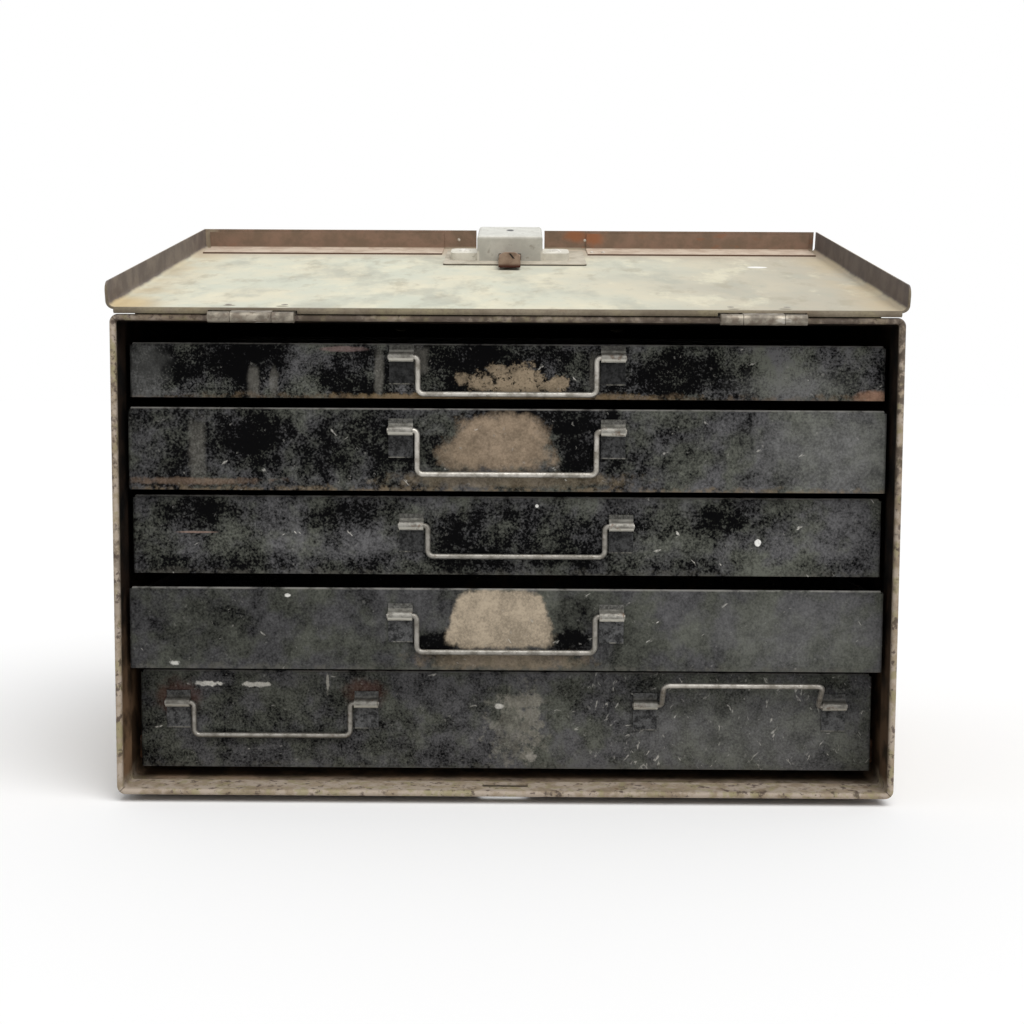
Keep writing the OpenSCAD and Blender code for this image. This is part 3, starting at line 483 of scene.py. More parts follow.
def patch(finish, at, centre, reach, ragged, grain, soft, taper=0.0, square=2.0):
    """Mask of one worn patch on a finish."""
    return finish.effect(worn_patch, Vector=at, Centre=centre, Reach=reach, Taper=taper, Square=square,
                         Ragged=ragged, Grain=grain, Soft=soft)


# A mark: its colour, the x and z of its middle, half its width and height, how ragged its outline is and
# at what grain, how soft and how strong it is, how far it narrows upwards, and if it is round or squarer.
Mark = namedtuple("Mark", "tint place reach ragged grain soft strength taper square", defaults=(0.0, 2.0))


def drawer_front(number, film, contrast, foot, marks, scratches):
    """Enamel of one front: film of dust and painted light at left and right, contrast of its clouds, colour
    and share of the worn lower edge, its marks, and scratches as (turn, share, from x, full at x)."""
    node = "drawer_%d_front" % number
    low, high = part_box(node)
    enamel = Finish("drawer_%d_enamel" % number, specular=0.03)
    at = enamel.at
    x, _, z = enamel.axes(at)
    # Painted light: the film greys from left to right, partly for dust and partly for light from the right.
    amount = enamel.span(x, low.x * 0.8, high.x * 0.8, film[0], film[1], smooth=False)
    broad = enamel.noise(at, 0.045, 4.0, 0.6)
    middling = enamel.noise(at, 0.011, 5.0, 0.65)
    fine = enamel.noise(at, 0.0045, 4.0, 0.7)
    grain = enamel.noise(at, 0.0014, 2.0, 0.7)
    for layer, share in ((broad, 3.2), (middling, 2.2), (fine, 1.9), (grain, 3.2)):
        swing = enamel.times(enamel.minus(layer, 0.5), share * contrast)
        amount = enamel.plus(amount, swing)

    def mask_of(mark):
        centre = (mark.place[0], low.y, mark.place[1])
        reach = (mark.reach[0], right_through, mark.reach[1])
        mask = patch(enamel, at, centre, reach, mark.ragged, mark.grain, mark.soft, mark.taper, mark.square)
        return enamel.times(mask, mark.strength)

    for mark in marks:
        if mark.tint == gone_black:
            amount = enamel.minus(amount, enamel.times(mask_of(mark), dust_lost))
    amount = enamel.least(enamel.most(amount, 0.0), most_dust)
    hue = enamel.noise(enamel.vector("ADD", at, (0.7, 0.3, 0.5)), 0.024, 3.0, 0.6)
    film_colour = enamel.mix(enamel.span(hue, 0.4, 0.6), (0.122, 0.126, 0.105), (0.122, 0.12, 0.122))
    colour = enamel.mix(enamel.calc("DIVIDE", amount, most_dust), gone_black, film_colour)
    mottled = enamel.plus(enamel.times(middling, 0.6), enamel.times(grain, 0.4))
    flecked = enamel.plus(enamel.times(fine, 0.6), enamel.times(grain, 0.4))
    for mark in marks:
        if mark.tint != gone_black:
            toned = enamel.mix(enamel.span(mottled, 0.36, 0.64), [0.68 * part for part in mark.tint],
                               [1.25 * part for part in mark.tint])
            mask = mask_of(mark)
            if mark.tint == bare_primer:
                mask = enamel.times(mask, enamel.span(flecked, 0.38, 0.48))
            colour = enamel.mix(mask, colour, toned)
    foot_colour, foot_share = foot
    ragged_foot = enamel.plus(z, enamel.times(enamel.minus(middling, 0.5), 0.014))
    worn_foot = enamel.span(ragged_foot, low.z + 0.0035, low.z + 0.0002)
    worn_foot = enamel.times(worn_foot, enamel.span(fine, 0.38, 0.6))
    colour = enamel.mix(enamel.times(worn_foot, foot_share), colour, foot_colour)
    # Worn paint along the rolled top edge, lightened in part as a painted highlight where the roll catches
    # the light.
    worn_top_and_highlight = enamel.span(z, high.z - 0.0012, high.z - 0.0004)
    worn_top_and_highlight = enamel.times(worn_top_and_highlight, enamel.span(middling, 0.3, 0.55))
    colour = enamel.mix(enamel.times(worn_top_and_highlight, 0.6), colour, (0.26, 0.25, 0.23))
    dust = enamel.effect(flecks, Vector=at, Stretch=(0.0035, 0.0035, 0.0035), Turn=0.4, Share=0.12,
                         Reach=0.26)
    colour = enamel.mix(enamel.times(dust, 0.4), colour, (0.3, 0.29, 0.265))
    chips = enamel.effect(flecks, Vector=at, Stretch=(0.02, 0.02, 0.02), Turn=0.2, Share=0.1, Reach=0.04)
    colour = enamel.mix(chips, colour, (0.6, 0.58, 0.53))
    scored = chips
    for angle, share, start, end in scratches:
        lines = enamel.effect(flecks, Vector=at, Stretch=(0.01, 0.02, 0.0032), Turn=angle, Share=share,
                              Reach=0.25)
        lines = enamel.times(lines, enamel.span(x, start, end))
        lines = enamel.times(lines, enamel.span(fine, 0.36, 0.56))
        colour = enamel.mix(lines, colour, scratched_steel)
        scored = enamel.most(scored, lines)
    height = enamel.minus(enamel.times(fine, 0.7), scored)
    enamel.done(colour, enamel.span(amount, 0.0, 1.0, 0.4, 0.65), height).onto(node)


everywhere = (-0.3, -0.25)
few_scratches = ((0.5, 0.025, *everywhere), (2.3, 0.025, *everywhere))
more_scratches = ((0.5, 0.03, *everywhere), (2.3, 0.03, *everywhere))
tool_scratches = ((0.9, 0.3, 0.03, 0.08), (2.2, 0.3, 0.03, 0.08), (1.4, 0.2, 0.02, 0.06),
                  (0.2, 0.06, *everywhere))
drawer_front(1, (0.3, 0.8), 1.25, ((0.17, 0.12, 0.075), 0.4), (
    Mark(gone_black, (-0.197, 0.2555), (0.018, 0.012), 1.8, 0.01, 0.35, 0.9),
    Mark(gone_black, (-0.153, 0.2585), (0.022, 0.0105), 1.6, 0.012, 0.35, 0.95),
    Mark(gone_black, (-0.088, 0.2525), (0.022, 0.015), 1.6, 0.012, 0.35, 0.95),
    Mark(gone_black, (0.004, 0.256), (0.056, 0.016), 2.0, 0.006, 0.45, 0.86, square=4.0),
    Mark(gone_black, (0.105, 0.252), (0.036, 0.014), 2.4, 0.004, 0.4, 0.75),
    Mark(gone_black, (0.192, 0.2565), (0.016, 0.0095), 1.8, 0.008, 0.4, 0.85),
    Mark(bare_primer, (-0.0165, 0.2475), (0.0064, 0.005), 3.2, 0.0034, 0.35, 0.95),
    Mark(bare_primer, (0.0015, 0.2455), (0.0106, 0.0072), 3.0, 0.0036, 0.35, 0.95, square=2.4),
    Mark(bare_primer, (0.0095, 0.2515), (0.0074, 0.007), 3.2, 0.0034, 0.35, 0.95),
    Mark(bare_primer, (-0.006, 0.2555), (0.0058, 0.0032), 3.4, 0.003, 0.4, 0.85),
    Mark(bare_primer, (0.0175, 0.2465), (0.0068, 0.0058), 3.2, 0.0034, 0.35, 0.9),
    Mark(bare_primer, (0.0295, 0.2465), (0.006, 0.0048), 3.0, 0.0034, 0.35, 0.95),
    Mark(bare_primer, (-0.0265, 0.2495), (0.004, 0.0034), 3.2, 0.003, 0.4, 0.75),
    Mark(pale_smear, (-0.1495, 0.2465), (0.0036, 0.0085), 1.4, 0.005, 0.35, 0.6, square=2.6),
    Mark(pale_smear, (-0.1375, 0.248), (0.0026, 0.0085), 1.4, 0.005, 0.35, 0.5),
    Mark(pale_smear, (-0.0755, 0.253), (0.0026, 0.013), 1.2, 0.005, 0.4, 0.5, square=3.0),
    Mark(pale_smear, (-0.052, 0.2605), (0.005, 0.0075), 1.2, 0.004, 0.35, 0.5, square=5.0),
    Mark(pale_smear, (0.0515, 0.253), (0.003, 0.012), 1.0, 0.006, 0.35, 0.5, square=3.0),
    Mark((0.2, 0.14, 0.13), (-0.0965, 0.2667), (0.012, 0.0016), 1.0, 0.005, 0.3, 0.7),
    Mark((0.19, 0.135, 0.075), (-0.013, 0.239), (0.085, 0.002), 3.0, 0.006, 0.4, 0.75, square=3.0),
    Mark(thick_dust, (-0.215, 0.252), (0.013, 0.018), 1.6, 0.008, 0.6, 0.45),
    Mark(thick_dust, (0.17, 0.247), (0.03, 0.008), 1.8, 0.006, 0.6, 0.45),
    Mark((0.34, 0.2, 0.135), (0.216, 0.2398), (0.011, 0.004), 1.0, 0.006, 0.35, 0.8)), few_scratches)
drawer_front(2, (0.34, 0.97), 0.78, ((0.17, 0.13, 0.085), 0.7), (
    Mark(gone_black, (-0.15, 0.217), (0.02, 0.012), 1.8, 0.01, 0.4, 0.85),
    Mark(gone_black, (-0.092, 0.208), (0.05, 0.016), 2.2, 0.009, 0.45, 0.5),
    Mark(gone_black, (0.022, 0.226), (0.045, 0.0075), 1.6, 0.008, 0.35, 0.9, square=3.0),
    Mark(gone_black, (0.039, 0.209), (0.014, 0.016), 1.8, 0.008, 0.45, 0.75),
    Mark(gone_black, (0.105, 0.209), (0.05, 0.02), 2.0, 0.012, 0.6, 0.5),
    Mark((0.235, 0.178, 0.124), (-0.0035, 0.2125), (0.0275, 0.016), 1.1, 0.009, 0.22, 0.94,
         taper=0.15, square=3.2),
    Mark((0.2, 0.152, 0.105), (-0.027, 0.2045), (0.014, 0.0085), 1.8, 0.007, 0.3, 0.7),
    Mark((0.19, 0.15, 0.1), (0.0, 0.1905), (0.06, 0.004), 2.0, 0.006, 0.4, 0.6, square=3.0),
    Mark((0.15, 0.105, 0.075), (-0.185, 0.189), (0.035, 0.0018), 3.0, 0.007, 0.5, 0.65, square=3.0),
    Mark(thick_dust, (0.2, 0.208), (0.045, 0.022), 1.4, 0.012, 0.7, 0.55),
    Mark(pale_smear, (-0.182, 0.209), (0.0045, 0.016), 1.4, 0.005, 0.4, 0.4, square=4.0)), few_scratches)
drawer_front(3, (0.66, 0.98), 0.9, ((0.1, 0.095, 0.08), 0.5), (
    Mark(gone_black, (0.006, 0.159), (0.046, 0.017), 1.2, 0.01, 0.35, 0.92, square=4.0),
    Mark(gone_black, (0.1, 0.167), (0.04, 0.01), 2.2, 0.006, 0.45, 0.75),
    Mark(gone_black, (-0.18, 0.168), (0.03, 0.009), 2.0, 0.01, 0.45, 0.7),
    Mark(gone_black, (-0.098, 0.168), (0.022, 0.008), 2.0, 0.01, 0.45, 0.55),
    Mark(gone_black, (0.0, 0.1385), (0.225, 0.006), 2.0, 0.01, 0.5, 0.5, square=4.0),
    Mark((0.2, 0.14, 0.115), (-0.184, 0.158), (0.011, 0.0006), 0.8, 0.008, 0.3, 0.8),
    Mark((0.8, 0.79, 0.75), (0.1495, 0.1534), (0.0019, 0.0021), 0.7, 0.002, 0.1, 1.0),
    Mark((0.7, 0.69, 0.65), (0.018, 0.1747), (0.001, 0.001), 0.3, 0.002, 0.2, 1.0)), few_scratches)
drawer_front(4, (0.56, 0.84), 0.44, ((0.1, 0.095, 0.08), 0.5), (
    Mark(gone_black, (-0.042, 0.094), (0.014, 0.007), 1.2, 0.008, 0.45, 0.9),
    Mark(gone_black, (0.038, 0.094), (0.012, 0.008), 1.2, 0.008, 0.45, 0.9),
    Mark(gone_black, (0.04, 0.112), (0.01, 0.016), 1.2, 0.008, 0.45, 0.6),
    Mark((0.33, 0.272, 0.2), (-0.0035, 0.1085), (0.0288, 0.0172), 0.5, 0.008, 0.08, 0.96,
         taper=0.2, square=5.0),
    Mark((0.2, 0.155, 0.105), (-0.003, 0.0835), (0.045, 0.005), 2.0, 0.006, 0.35, 0.6, square=3.0),
    Mark(thick_dust, (0.17, 0.1), (0.05, 0.018), 1.8, 0.015, 0.8, 0.3),
    Mark((0.6, 0.59, 0.55), (-0.129, 0.1218), (0.0017, 0.001), 1.2, 0.002, 0.3, 1.0),
    Mark((0.4, 0.39, 0.36), (-0.196, 0.081), (0.0024, 0.0012), 2.4, 0.0022, 0.4, 0.9)), more_scratches)
drawer_front(5, (0.68, 1.12), 0.85, ((0.1, 0.095, 0.08), 0.5), (
    Mark(thick_dust, (0.15, 0.036), (0.06, 0.02), 1.4, 0.014, 0.8, 0.5),
    Mark(dried_drips, (0.006, 0.037), (0.014, 0.018), 5.0, 0.004, 0.35, 0.42),
    Mark(dried_drips, (0.014, 0.042), (0.006, 0.022), 4.4, 0.004, 0.35, 0.5),
    Mark(dried_drips, (0.0105, 0.0545), (0.0115, 0.0044), 2.2, 0.004, 0.35, 0.75),
    Mark((0.34, 0.32, 0.28), (0.0155, 0.02), (0.003, 0.0024), 2.6, 0.003, 0.3, 0.8),
    Mark((0.62, 0.6, 0.55), (-0.182, 0.0642), (0.0085, 0.0013), 2.8, 0.003, 0.3, 1.0),
    Mark((0.5, 0.48, 0.43), (-0.152, 0.0638), (0.0075, 0.0014), 3.0, 0.003, 0.3, 1.0),
    Mark((0.36, 0.34, 0.3), (-0.1085, 0.0645), (0.0009, 0.006), 2.2, 0.003, 0.4, 0.9),
    Mark((0.55, 0.53, 0.48), (-0.004, 0.0512), (0.0026, 0.0016), 0.8, 0.003, 0.3, 1.0),
    Mark((0.1, 0.04, 0.026), (-0.2, 0.056), (0.012, 0.01), 1.6, 0.007, 0.45, 0.5),
    Mark((0.1, 0.04, 0.026), (-0.086, 0.059), (0.011, 0.008), 1.6, 0.007, 0.45, 0.5),
    Mark(gone_black, (0.085, 0.057), (0.01, 0.012), 1.6, 0.007, 0.5, 0.6),
    Mark(gone_black, (0.2, 0.057), (0.012, 0.012), 1.6, 0.007, 0.5, 0.6)), tool_scratches)

# Pull clips: strips folded into a loop round the wire and welded flat to the front.
# They were enamelled with the front, and the loops are rubbed to grey steel; a bright line along each
# loop's foot is a painted highlight.
dust_on_clips = (0.25, 0.5, 0.45, 0.85, 0.95)
shine_over_loops = (1.0, 1.0, 1.0, 0.9, 0.35)
for number, film_share, rubbed in zip(range(1, 6), dust_on_clips, shine_over_loops):
    node = "drawer_%d_clips" % number
    clip_low, clip_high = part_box(node)
    clip = Finish("clip_%d_steel" % number, specular=0.1)
    _, y, z = clip.axes(clip.at)
    rub = clip.noise(clip.at, 0.004, 5.0, 0.65)
    grain = clip.noise(clip.at, 0.0014, 2.0, 0.7)
    loop = clip.span(y, clip_high.y - 0.0011, clip_high.y - 0.0018)
    dusty = clip.plus(clip.times(rub, 0.6), clip.times(grain, 0.4))
    film = clip.mix(clip.span(dusty, 0.38, 0.62), [0.016 * film_share] * 3, [0.12 * film_share] * 3)
    above = clip.times(clip.span(z, clip_high.z - 0.0075, clip_high.z - 0.006), 0.6 * rubbed)
    grey = clip.mix(clip.span(grain, 0.3, 0.7), (0.06, 0.058, 0.05), (0.17, 0.165, 0.145))
    film = clip.mix(above, film, grey)
    bright = clip.mix(clip.span(rub, 0.35, 0.65), (0.13, 0.126, 0.108), (0.29, 0.28, 0.25))
    over_loop = clip.times(clip.span(z, clip_high.z - 0.0066, clip_high.z - 0.006),
                           clip.span(z, clip_high.z - 0.0024, clip_high.z - 0.0032))
    film = clip.mix(clip.times(over_loop, rubbed), film, bright)
    foot = clip.times(clip.span(z, clip_low.z + 0.0009, clip_low.z + 0.0004), clip.span(rub, 0.4, 0.6))
    film = clip.mix(clip.times(foot, 0.7), film, (0.2, 0.19, 0.16))
    worn = clip.mix(clip.span(rub, 0.35, 0.65), (0.13, 0.122, 0.105), (0.3, 0.288, 0.258))
    # Painted highlight: the foot of each loop is painted as a bright line, as if it caught the light.
    worn = clip.mix(clip.span(z, clip_high.z - 0.0074, clip_high.z - 0.0084), worn, (0.5, 0.48, 0.42))
    brown = clip.effect(grime_clouds, Vector=clip.at, Size=0.005, Low=0.56, High=0.66)
    worn = clip.mix(clip.times(brown, 0.7), worn, (0.12, 0.075, 0.048))
    metal = clip.times(loop, clip.span(rub, 0.4, 0.6, 0.3, 0.7))
    clip.done(clip.mix(loop, film, worn), clip.span(rub, 0.3, 0.7, 0.4, 0.6), rub, 0.0001, metal).onto(node)

# Pulls: round steel wire, bent to shape, that swings freely in its two clips.
# Nickelled once, now dull with brown freckles and bright where fingers rub.
# The lower ones are duller, apart from the last at the right.
wire = Finish("pull_nickel", specular=0.4)
rub = wire.noise(wire.at, 0.007, 5.0, 0.65)
fine = wire.noise(wire.at, 0.0012, 3.0, 0.7)
colour = wire.mix(wire.span(rub, 0.32, 0.62), (0.2, 0.182, 0.152), (0.47, 0.445, 0.4))
x, _, z = wire.axes(wire.at)
below_second, left_of_last = wire.span(z, 0.195, 0.16), wire.span(x, 0.095, 0.075)
dull = wire.times(below_second, left_of_last)
duller = wire.mix(wire.span(rub, 0.32, 0.62), (0.14, 0.128, 0.107), (0.3, 0.284, 0.255))
colour = wire.mix(dull, colour, duller)
freckles = wire.effect(flecks, Vector=wire.at, Stretch=(0.003, 0.003, 0.003), Turn=0.0, Share=0.3,
                       Reach=0.34)
colour = wire.mix(wire.times(freckles, 0.75), colour, (0.1, 0.066, 0.044))
wire.done(colour, wire.span(fine, 0.3, 0.7, 0.34, 0.58), fine, 0.00008,
          wire.span(rub, 0.3, 0.6, 0.5, 0.85))
wire.onto("pull_1", "pull_2", "pull_3", "pull_4", "pull_5_left", "pull_5_right")

# Hinges: rolled steel leaves on a pin, riveted to the cabinet top and the cover.
# The paint is rubbed off them, and the brown-grey steel shines in places.
# The rivets of the carrying handle are of the same steel.
hinge = Finish("hinge_steel", specular=0.3)
rub = hinge.noise(hinge.at, 0.006, 5.0, 0.65)
fine = hinge.noise(hinge.at, 0.0015, 3.0, 0.7)
colour = hinge.mix(hinge.span(rub, 0.35, 0.65), (0.13, 0.11, 0.085), (0.32, 0.285, 0.23))
brown = hinge.effect(grime_clouds, Vector=hinge.at, Size=0.005, Low=0.5, High=0.62)
colour = hinge.mix(hinge.times(brown, 0.55), colour, (0.11, 0.078, 0.056))
shine = hinge.effect(flecks, Vector=hinge.at, Stretch=(0.012, 0.006, 0.005), Turn=0.0, Share=0.3, Reach=0.4)
colour = hinge.mix(hinge.times(shine, 0.6), colour, (0.55, 0.52, 0.46))
hinge.done(colour, hinge.span(fine, 0.3, 0.7, 0.35, 0.6), fine, 0.0001,
           hinge.span(rub, 0.4, 0.6, 0.25, 0.65))
hinge.onto("cabinet_leaf_left", "cabinet_leaf_right", "cover_leaf_left", "cover_leaf_right",
           "hinge_pin_left", "hinge_pin_right", "cabinet_leaf_rivets", "cover_leaf_rivets", "handle_rivets")

# Cover: a folded pan on the two hinges, swung back on the handle with its inner face up.
# Cream paint inside, yellowed along the folds and smeared grey; the flanges lost theirs and turned brown.
hinge_joint = [joint for joint in frame["joints"] if joint["name"] == "cover_hinge"][0]
hinge_axis = hinge_joint["pos_m"]
cover_tilt = math.radians(270.0 + hinge_joint["range_deg"][0])
cover_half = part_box("cover_pan")[1].x
cover_length = 0.2816
panel_face = 0.0041
side_bend, far_bend = 0.0045, 0.0018
hinge_fold = 0.0098
brown_low, brown_high = (0.2, 0.142, 0.1), (0.27, 0.178, 0.128)
orange_rust = (0.36, 0.125, 0.045)
cover = Finish("cover_paint", specular=0.08)
at = cover.turned(cover_tilt, hinge_axis)
x, along, out = cover.axes(at)
side = cover.calc("ABSOLUTE", x)
drawn = cover.vector("MULTIPLY", at, (1.0, 0.5, 1.0))
cream = cover.mix(cover.effect(grime_clouds, Vector=at, Size=0.06, Low=0.36, High=0.62),
                  (0.68, 0.64, 0.5), (0.59, 0.6, 0.5))
darker = cover.plus(x, cover.times(cover.noise(at, 0.12, 2.0, 0.5), 0.25))
cream = cover.mix(cover.span(darker, 0.1, 0.34, 0.0, 0.75), cream, (0.43, 0.385, 0.31))
smears = cover.effect(grime_clouds, Vector=drawn, Size=0.045, Low=0.48, High=0.64)
cream = cover.mix(cover.times(smears, 0.65), cream, (0.4, 0.4, 0.33))
streaks = cover.effect(grime_clouds, Vector=drawn, Size=0.016, Low=0.53, High=0.68)
cream = cover.mix(cover.times(streaks, 0.45), cream, (0.37, 0.335, 0.25))
elsewhere = cover.vector("ADD", drawn, (0.3, 0.2, 0.0))
pale = cover.effect(grime_clouds, Vector=elsewhere, Size=0.03, Low=0.52, High=0.66)
cream = cover.mix(cover.times(pale, 0.55), cream, (0.74, 0.7, 0.54))
wisps = cover.effect(flecks, Vector=at, Stretch=(0.014, 0.02, 0.02), Turn=0.0, Share=0.25, Reach=0.3)
cream = cover.mix(cover.times(wisps, 0.3), cream, (0.46, 0.4, 0.3))
warm = cover.effect(grime_clouds, Vector=at, Size=0.04, Low=0.3, High=0.6)
yellowed = cover.times(cover.span(side, cover_half - 0.04, cover_half - 0.006), warm)
cream = cover.mix(cover.times(yellowed, 0.55), cream, (0.56, 0.44, 0.27))
far_tint = cover.times(cover.span(along, 0.215, 0.262), 0.7)
cream = cover.mix(far_tint, cream, (0.47, 0.385, 0.3))
corner = patch(cover, at, (-0.224, 0.014, panel_face), (0.018, 0.03, right_through), 0.8, 0.02, 0.5)
cream = cover.mix(cover.times(corner, 0.6), cream, (0.6, 0.44, 0.22))
chip = patch(cover, at, (0.1715, 0.191, panel_face), (0.0065, 0.0045, right_through), 0.5, 0.006, 0.15)
cream = cover.mix(chip, cream, (0.85, 0.84, 0.8))
# Painted shade: four small dark spots by the hinge knuckles stand for the shade in small hollows of the
# sheet.
for dent_x, dent_along in ((-0.161, 0.016), (-0.13, 0.014), (0.13, 0.012), (0.16, 0.013)):
    dent_shade = patch(cover, at, (dent_x, dent_along, panel_face), (0.0034, 0.002, right_through), 0.6, 0.005,
                 0.3)
    cream = cover.mix(cover.times(dent_shade, 0.75), cream, (0.14, 0.115, 0.085))
grit = cover.effect(flecks, Vector=at, Stretch=(0.005, 0.005, 0.005), Turn=0.0, Share=0.14, Reach=0.2)
cream = cover.mix(cover.times(grit, 0.5), cream, (0.33, 0.29, 0.23))
brown_clouds = cover.effect(grime_clouds, Vector=at, Size=0.014, Low=0.36, High=0.64)
far_rust = cover.mix(brown_clouds, brown_low, brown_high)
orange = patch(cover, at, (0.049, cover_length, 0.015), (0.008, right_through, 0.0042), 1.2, 0.006, 0.6)
freckle = cover.effect(flecks, Vector=at, Stretch=(0.014, 0.014, 0.006), Turn=0.0, Share=0.25, Reach=0.34)
orange = cover.most(orange, cover.times(freckle, 0.5))
far_rust = cover.mix(cover.times(orange, 0.65), far_rust, orange_rust)
bared = patch(cover, at, (-0.225, cover_length, 0.009), (0.008, right_through, 0.012), 1.4, 0.006, 0.5)
far_rust = cover.mix(cover.times(bared, 0.8), far_rust, (0.4, 0.34, 0.25))
side_rust = cover.mix(brown_clouds, (0.15, 0.125, 0.112), (0.215, 0.18, 0.155))
# The right flange is painted darker than the left.
side_rust = cover.mix(cover.span(x, -0.05, 0.05, 0.0, 0.4), side_rust, (0.075, 0.062, 0.062))
side_rust = cover.mix(cover.times(freckle, 0.4), side_rust, (0.06, 0.05, 0.05))
on_side = cover.calc("GREATER_THAN", side, cover_half - 0.0042)
on_far = cover.calc("GREATER_THAN", along, cover_length - 0.0016)
uneven_out = cover.plus(out, cover.times(warm, -0.0008))
upright_part = cover.span(uneven_out, panel_face + 0.0001, panel_face + 0.002)
colour = cover.mix(cover.times(on_side, upright_part), cream, side_rust)
colour = cover.mix(cover.times(on_far, upright_part), colour, far_rust)
worn_edge = cover.span(along, hinge_fold, hinge_fold - 0.0023)
edge_paint = stove_paint(cover, at, (0.22, 0.185, 0.135), (0.13, 0.105, 0.075))[0]
colour = cover.mix(worn_edge, colour, edge_paint)
outer = 0.0
for reach, edge, bend_radius in ((side, cover_half, side_bend), (along, cover_length, far_bend)):
    past = cover.most(cover.minus(reach, edge - bend_radius), 0.0)
    below = cover.most(cover.minus(panel_face - 2 * half_sheet + bend_radius, out), 0.0)
    from_bend = cover.calc("SQRT", cover.plus(cover.times(past, past),
                                              cover.times(below, below)))
    outer = cover.most(outer, cover.calc("GREATER_THAN", from_bend, bend_radius - half_sheet))
outer = cover.times(outer, cover.calc("GREATER_THAN", along, hinge_fold))
below_face = cover.calc("LESS_THAN", out, panel_face)
outer = cover.times(outer, cover.most(cover.span(along, 0.02, 0.06), below_face))
outside_paint = stove_paint(cover, at, beige, faded_beige)[0]
colour = cover.mix(outer, colour, outside_paint)
height = cover.plus(brown_clouds, smears)
cover.done(colour, cover.span(smears, 0.0, 1.0, 0.7, 0.55), height, 0.00015).onto("cover_pan")

# Stiffeners: two angles spot-welded into the far corner of the cover.
# The flat leg still holds some pinkish primer, and the upright leg is as brown as the flange behind it.
stiff = Finish("stiffener_steel", specular=0.08)
at = stiff.turned(cover_tilt, hinge_axis)
_, along, out = stiff.axes(at)
clouds = stiff.effect(grime_clouds, Vector=at, Size=0.014, Low=0.36, High=0.64)
flat_leg = stiff.mix(clouds, (0.6, 0.5, 0.4), (0.46, 0.36, 0.28))
upright_leg = stiff.mix(clouds, brown_low, brown_high)
orange = patch(stiff, at, (0.062, cover_length, 0.0135), (0.007, right_through, 0.005), 1.2, 0.006, 0.6)
upright_leg = stiff.mix(stiff.times(orange, 0.65), upright_leg, orange_rust)
freckle = stiff.effect(flecks, Vector=at, Stretch=(0.014, 0.014, 0.006), Turn=0.0, Share=0.25, Reach=0.34)
upright_leg = stiff.mix(stiff.times(freckle, 0.45), upright_leg, (0.3, 0.13, 0.065))
# Painted shadow: a dark band along the near edge of the flat leg stands for the shadow of the strip's edge.
near_edge_shadow = stiff.span(along, cover_length - 0.0285, cover_length - 0.0305)
flat_leg = stiff.mix(near_edge_shadow, flat_leg, (0.13, 0.08, 0.055))
colour = stiff.mix(stiff.span(out, panel_face + 0.0012, panel_face + 0.0022), flat_leg, upright_leg)
stiff.done(colour, stiff.span(clouds, 0.0, 1.0, 0.6, 0.75), clouds)
stiff.onto("stiffener_left", "stiffener_right")

# Spot welds: small flat domes of pale steel on the cover's far flange and on one stiffener.
# They are what the welding left where the flange, the stiffeners and the panel were joined.
weld_radius, weld_height = 0.0011, 0.0005
on_upright = Matrix.Rotation(math.radians(90.0), 4, "X")
on_flat = Matrix.Diagonal((1.6, 1.6, 2.2, 1.0))
flattened = Matrix.Diagonal((1.0, 1.0, weld_height / weld_radius, 1.0))
weld_places = [((weld_x, cover_length - 0.001, 0.0115), on_upright) for weld_x in (-0.0387, 0.056)]
weld_places += [((weld_x, cover_length - 0.022, panel_face + 0.001), on_flat)
                for weld_x in (0.0605, 0.0685)]
cover_frame = Matrix.Translation(hinge_axis) @ Matrix.Rotation(cover_tilt, 4, "X")
spots = bmesh.new()
for place, turn in weld_places:
    weld_frame = cover_frame @ Matrix.Translation(place) @ turn @ flattened
    bmesh.ops.create_uvsphere(spots, u_segments=16, v_segments=8, radius=weld_radius, matrix=weld_frame)
weld = Finish("weld_spots", specular=0.3)
heat = weld.noise(weld.at, 0.002, 4.0, 0.65)
weld.done(weld.mix(weld.span(heat, 0.35, 0.65), (0.45, 0.39, 0.32), (0.72, 0.67, 0.6)),
          weld.span(heat, 0.3, 0.7, 0.35, 0.6), heat, 0.00008)
new_piece("weld_spots", spots, weld, "cover")

# Lock: a pressed case with two thick ears, zinc plated, riveted to the cover through a painted plate.
# The key plug and its ring show on the outer face of the cover, in the same dull plating.
zinc = Finish("zinc_plate", specular=0.3)
at = zinc.turned(cover_tilt, hinge_axis)
x, _, out = zinc.axes(at)
case_top = 0.023
bloom = zinc.noise(at, 0.012, 5.0, 0.6)
fine = zinc.noise(at, 0.0018, 3.0, 0.7)
face = zinc.mix(zinc.span(bloom, 0.35, 0.65), (0.42, 0.405, 0.355), (0.52, 0.5, 0.44))
# Painted light: the top face of the case gets a lighter copy of the zinc, as if lit from above.
painted_light_on_top = zinc.mix(zinc.span(bloom, 0.35, 0.65), (0.55, 0.545, 0.495), (0.64, 0.635, 0.58))
colour = zinc.mix(zinc.span(out, case_top - 0.0014, case_top - 0.0003), face, painted_light_on_top)
ears = zinc.times(zinc.span(zinc.calc("ABSOLUTE", x), 0.0212, 0.0222), zinc.span(out, 0.0125, 0.0118))
cream = zinc.mix(zinc.span(bloom, 0.35, 0.65), (0.56, 0.53, 0.45), (0.72, 0.69, 0.6))
colour = zinc.mix(ears, colour, cream)
stain = zinc.effect(grime_clouds, Vector=at, Size=0.006, Low=0.58, High=0.7)
colour = zinc.mix(zinc.times(stain, 0.6), colour, (0.24, 0.215, 0.17))
nick = patch(zinc, at, (0.0, 0.242, case_top), (0.0026, 0.006, 0.002), 0.8, 0.003, 0.3)
colour = zinc.mix(nick, colour, (0.06, 0.06, 0.06))
zinc.done(colour, zinc.span(fine, 0.3, 0.7, 0.45, 0.62), fine, 0.0001,
          zinc.span(bloom, 0.3, 0.7, 0.05, 0.2))
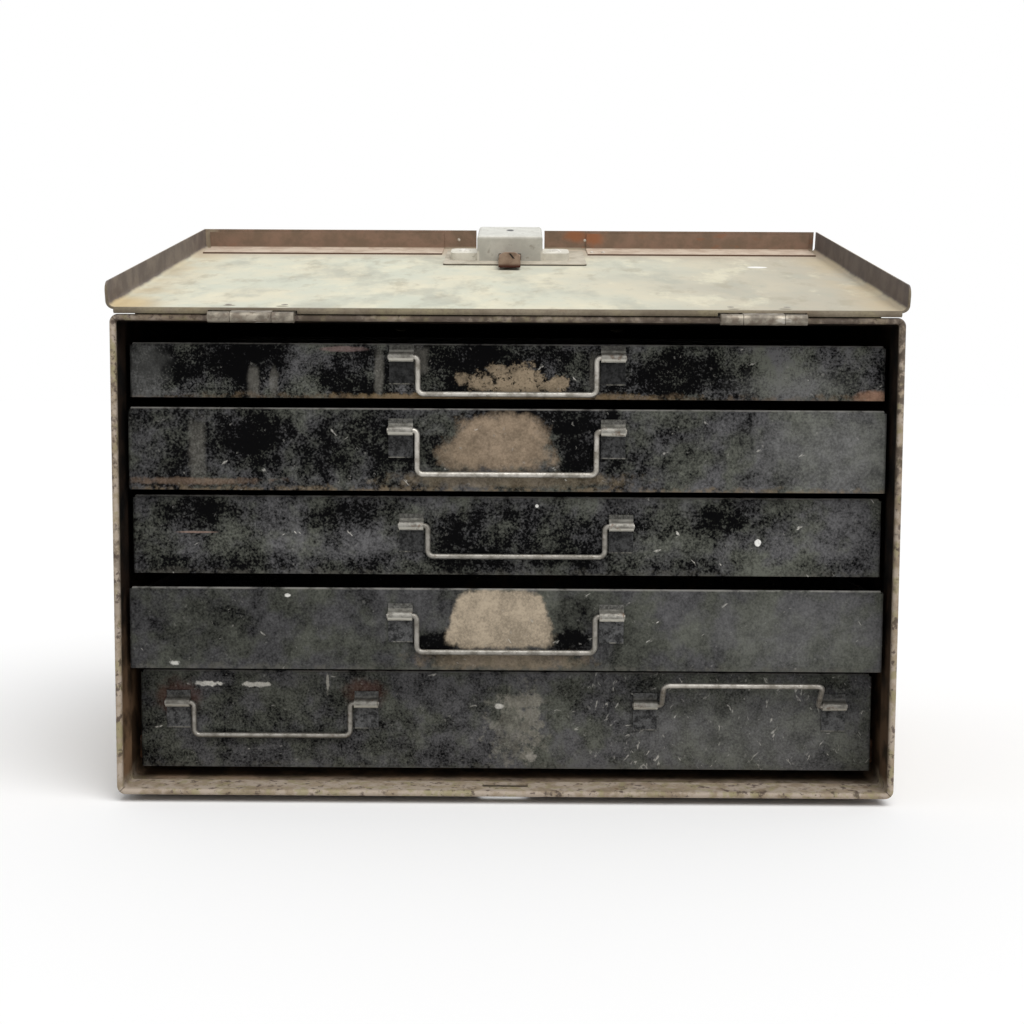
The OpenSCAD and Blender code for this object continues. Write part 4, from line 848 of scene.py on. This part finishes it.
zinc.onto("lock_case", "lock_ring", "lock_plug")

rivet = Finish("lock_rivets", specular=0.4)
rub = rivet.noise(rivet.at, 0.003, 5.0, 0.65)
rivet.done(rivet.mix(rivet.span(rub, 0.35, 0.65), (0.5, 0.47, 0.41), (0.82, 0.79, 0.72)),
           rivet.span(rub, 0.3, 0.7, 0.35, 0.55), rub, 0.0001, rivet.span(rub, 0.4, 0.6, 0.1, 0.35))
rivet.onto("lock_rivets")

plate = Finish("lock_plate_paint", specular=0.1)
at = plate.turned(cover_tilt, hinge_axis)
_, _, out = plate.axes(at)
clouds = plate.effect(grime_clouds, Vector=at, Size=0.012, Low=0.38, High=0.64)
colour = plate.mix(clouds, (0.52, 0.47, 0.38), (0.38, 0.34, 0.27))
rim = plate.span(out, panel_face + 0.0011, panel_face + 0.0006)
colour = plate.mix(rim, colour, (0.07, 0.058, 0.045))
plate.done(colour, plate.span(clouds, 0.0, 1.0, 0.55, 0.7), clouds).onto("lock_plate")

# Bolt: a flat steel bar stepped inside the case, with a thumb tab turned up from the end of its tail.
# It is brown with rust, and a black gouge crosses the tab.
bolt = Finish("bolt_rust", specular=0.12)
at = bolt.turned(cover_tilt, hinge_axis)
x, _, out = bolt.axes(at)
clouds = bolt.effect(grime_clouds, Vector=at, Size=0.007, Low=0.36, High=0.64)
colour = bolt.mix(clouds, (0.2, 0.135, 0.095), (0.31, 0.222, 0.165))
# Painted shade: the lower part of the tab is darkened to stand for the shade under it.
shade_under_tab = bolt.span(out, 0.0092, 0.0068)
colour = bolt.mix(shade_under_tab, colour, (0.06, 0.022, 0.014))
slope = bolt.plus(x, bolt.times(bolt.minus(out, 0.0135), 0.8))
across = bolt.calc("ABSOLUTE", bolt.minus(slope, 0.0018))
lengthways = bolt.calc("ABSOLUTE", bolt.minus(out, 0.0138))
gouge = bolt.times(bolt.span(across, 0.001, 0.0004), bolt.span(lengthways, 0.0021, 0.0014))
colour = bolt.mix(gouge, colour, (0.012, 0.011, 0.01))
bolt.done(colour, bolt.span(clouds, 0.0, 1.0, 0.6, 0.75), clouds).onto("lock_bolt")
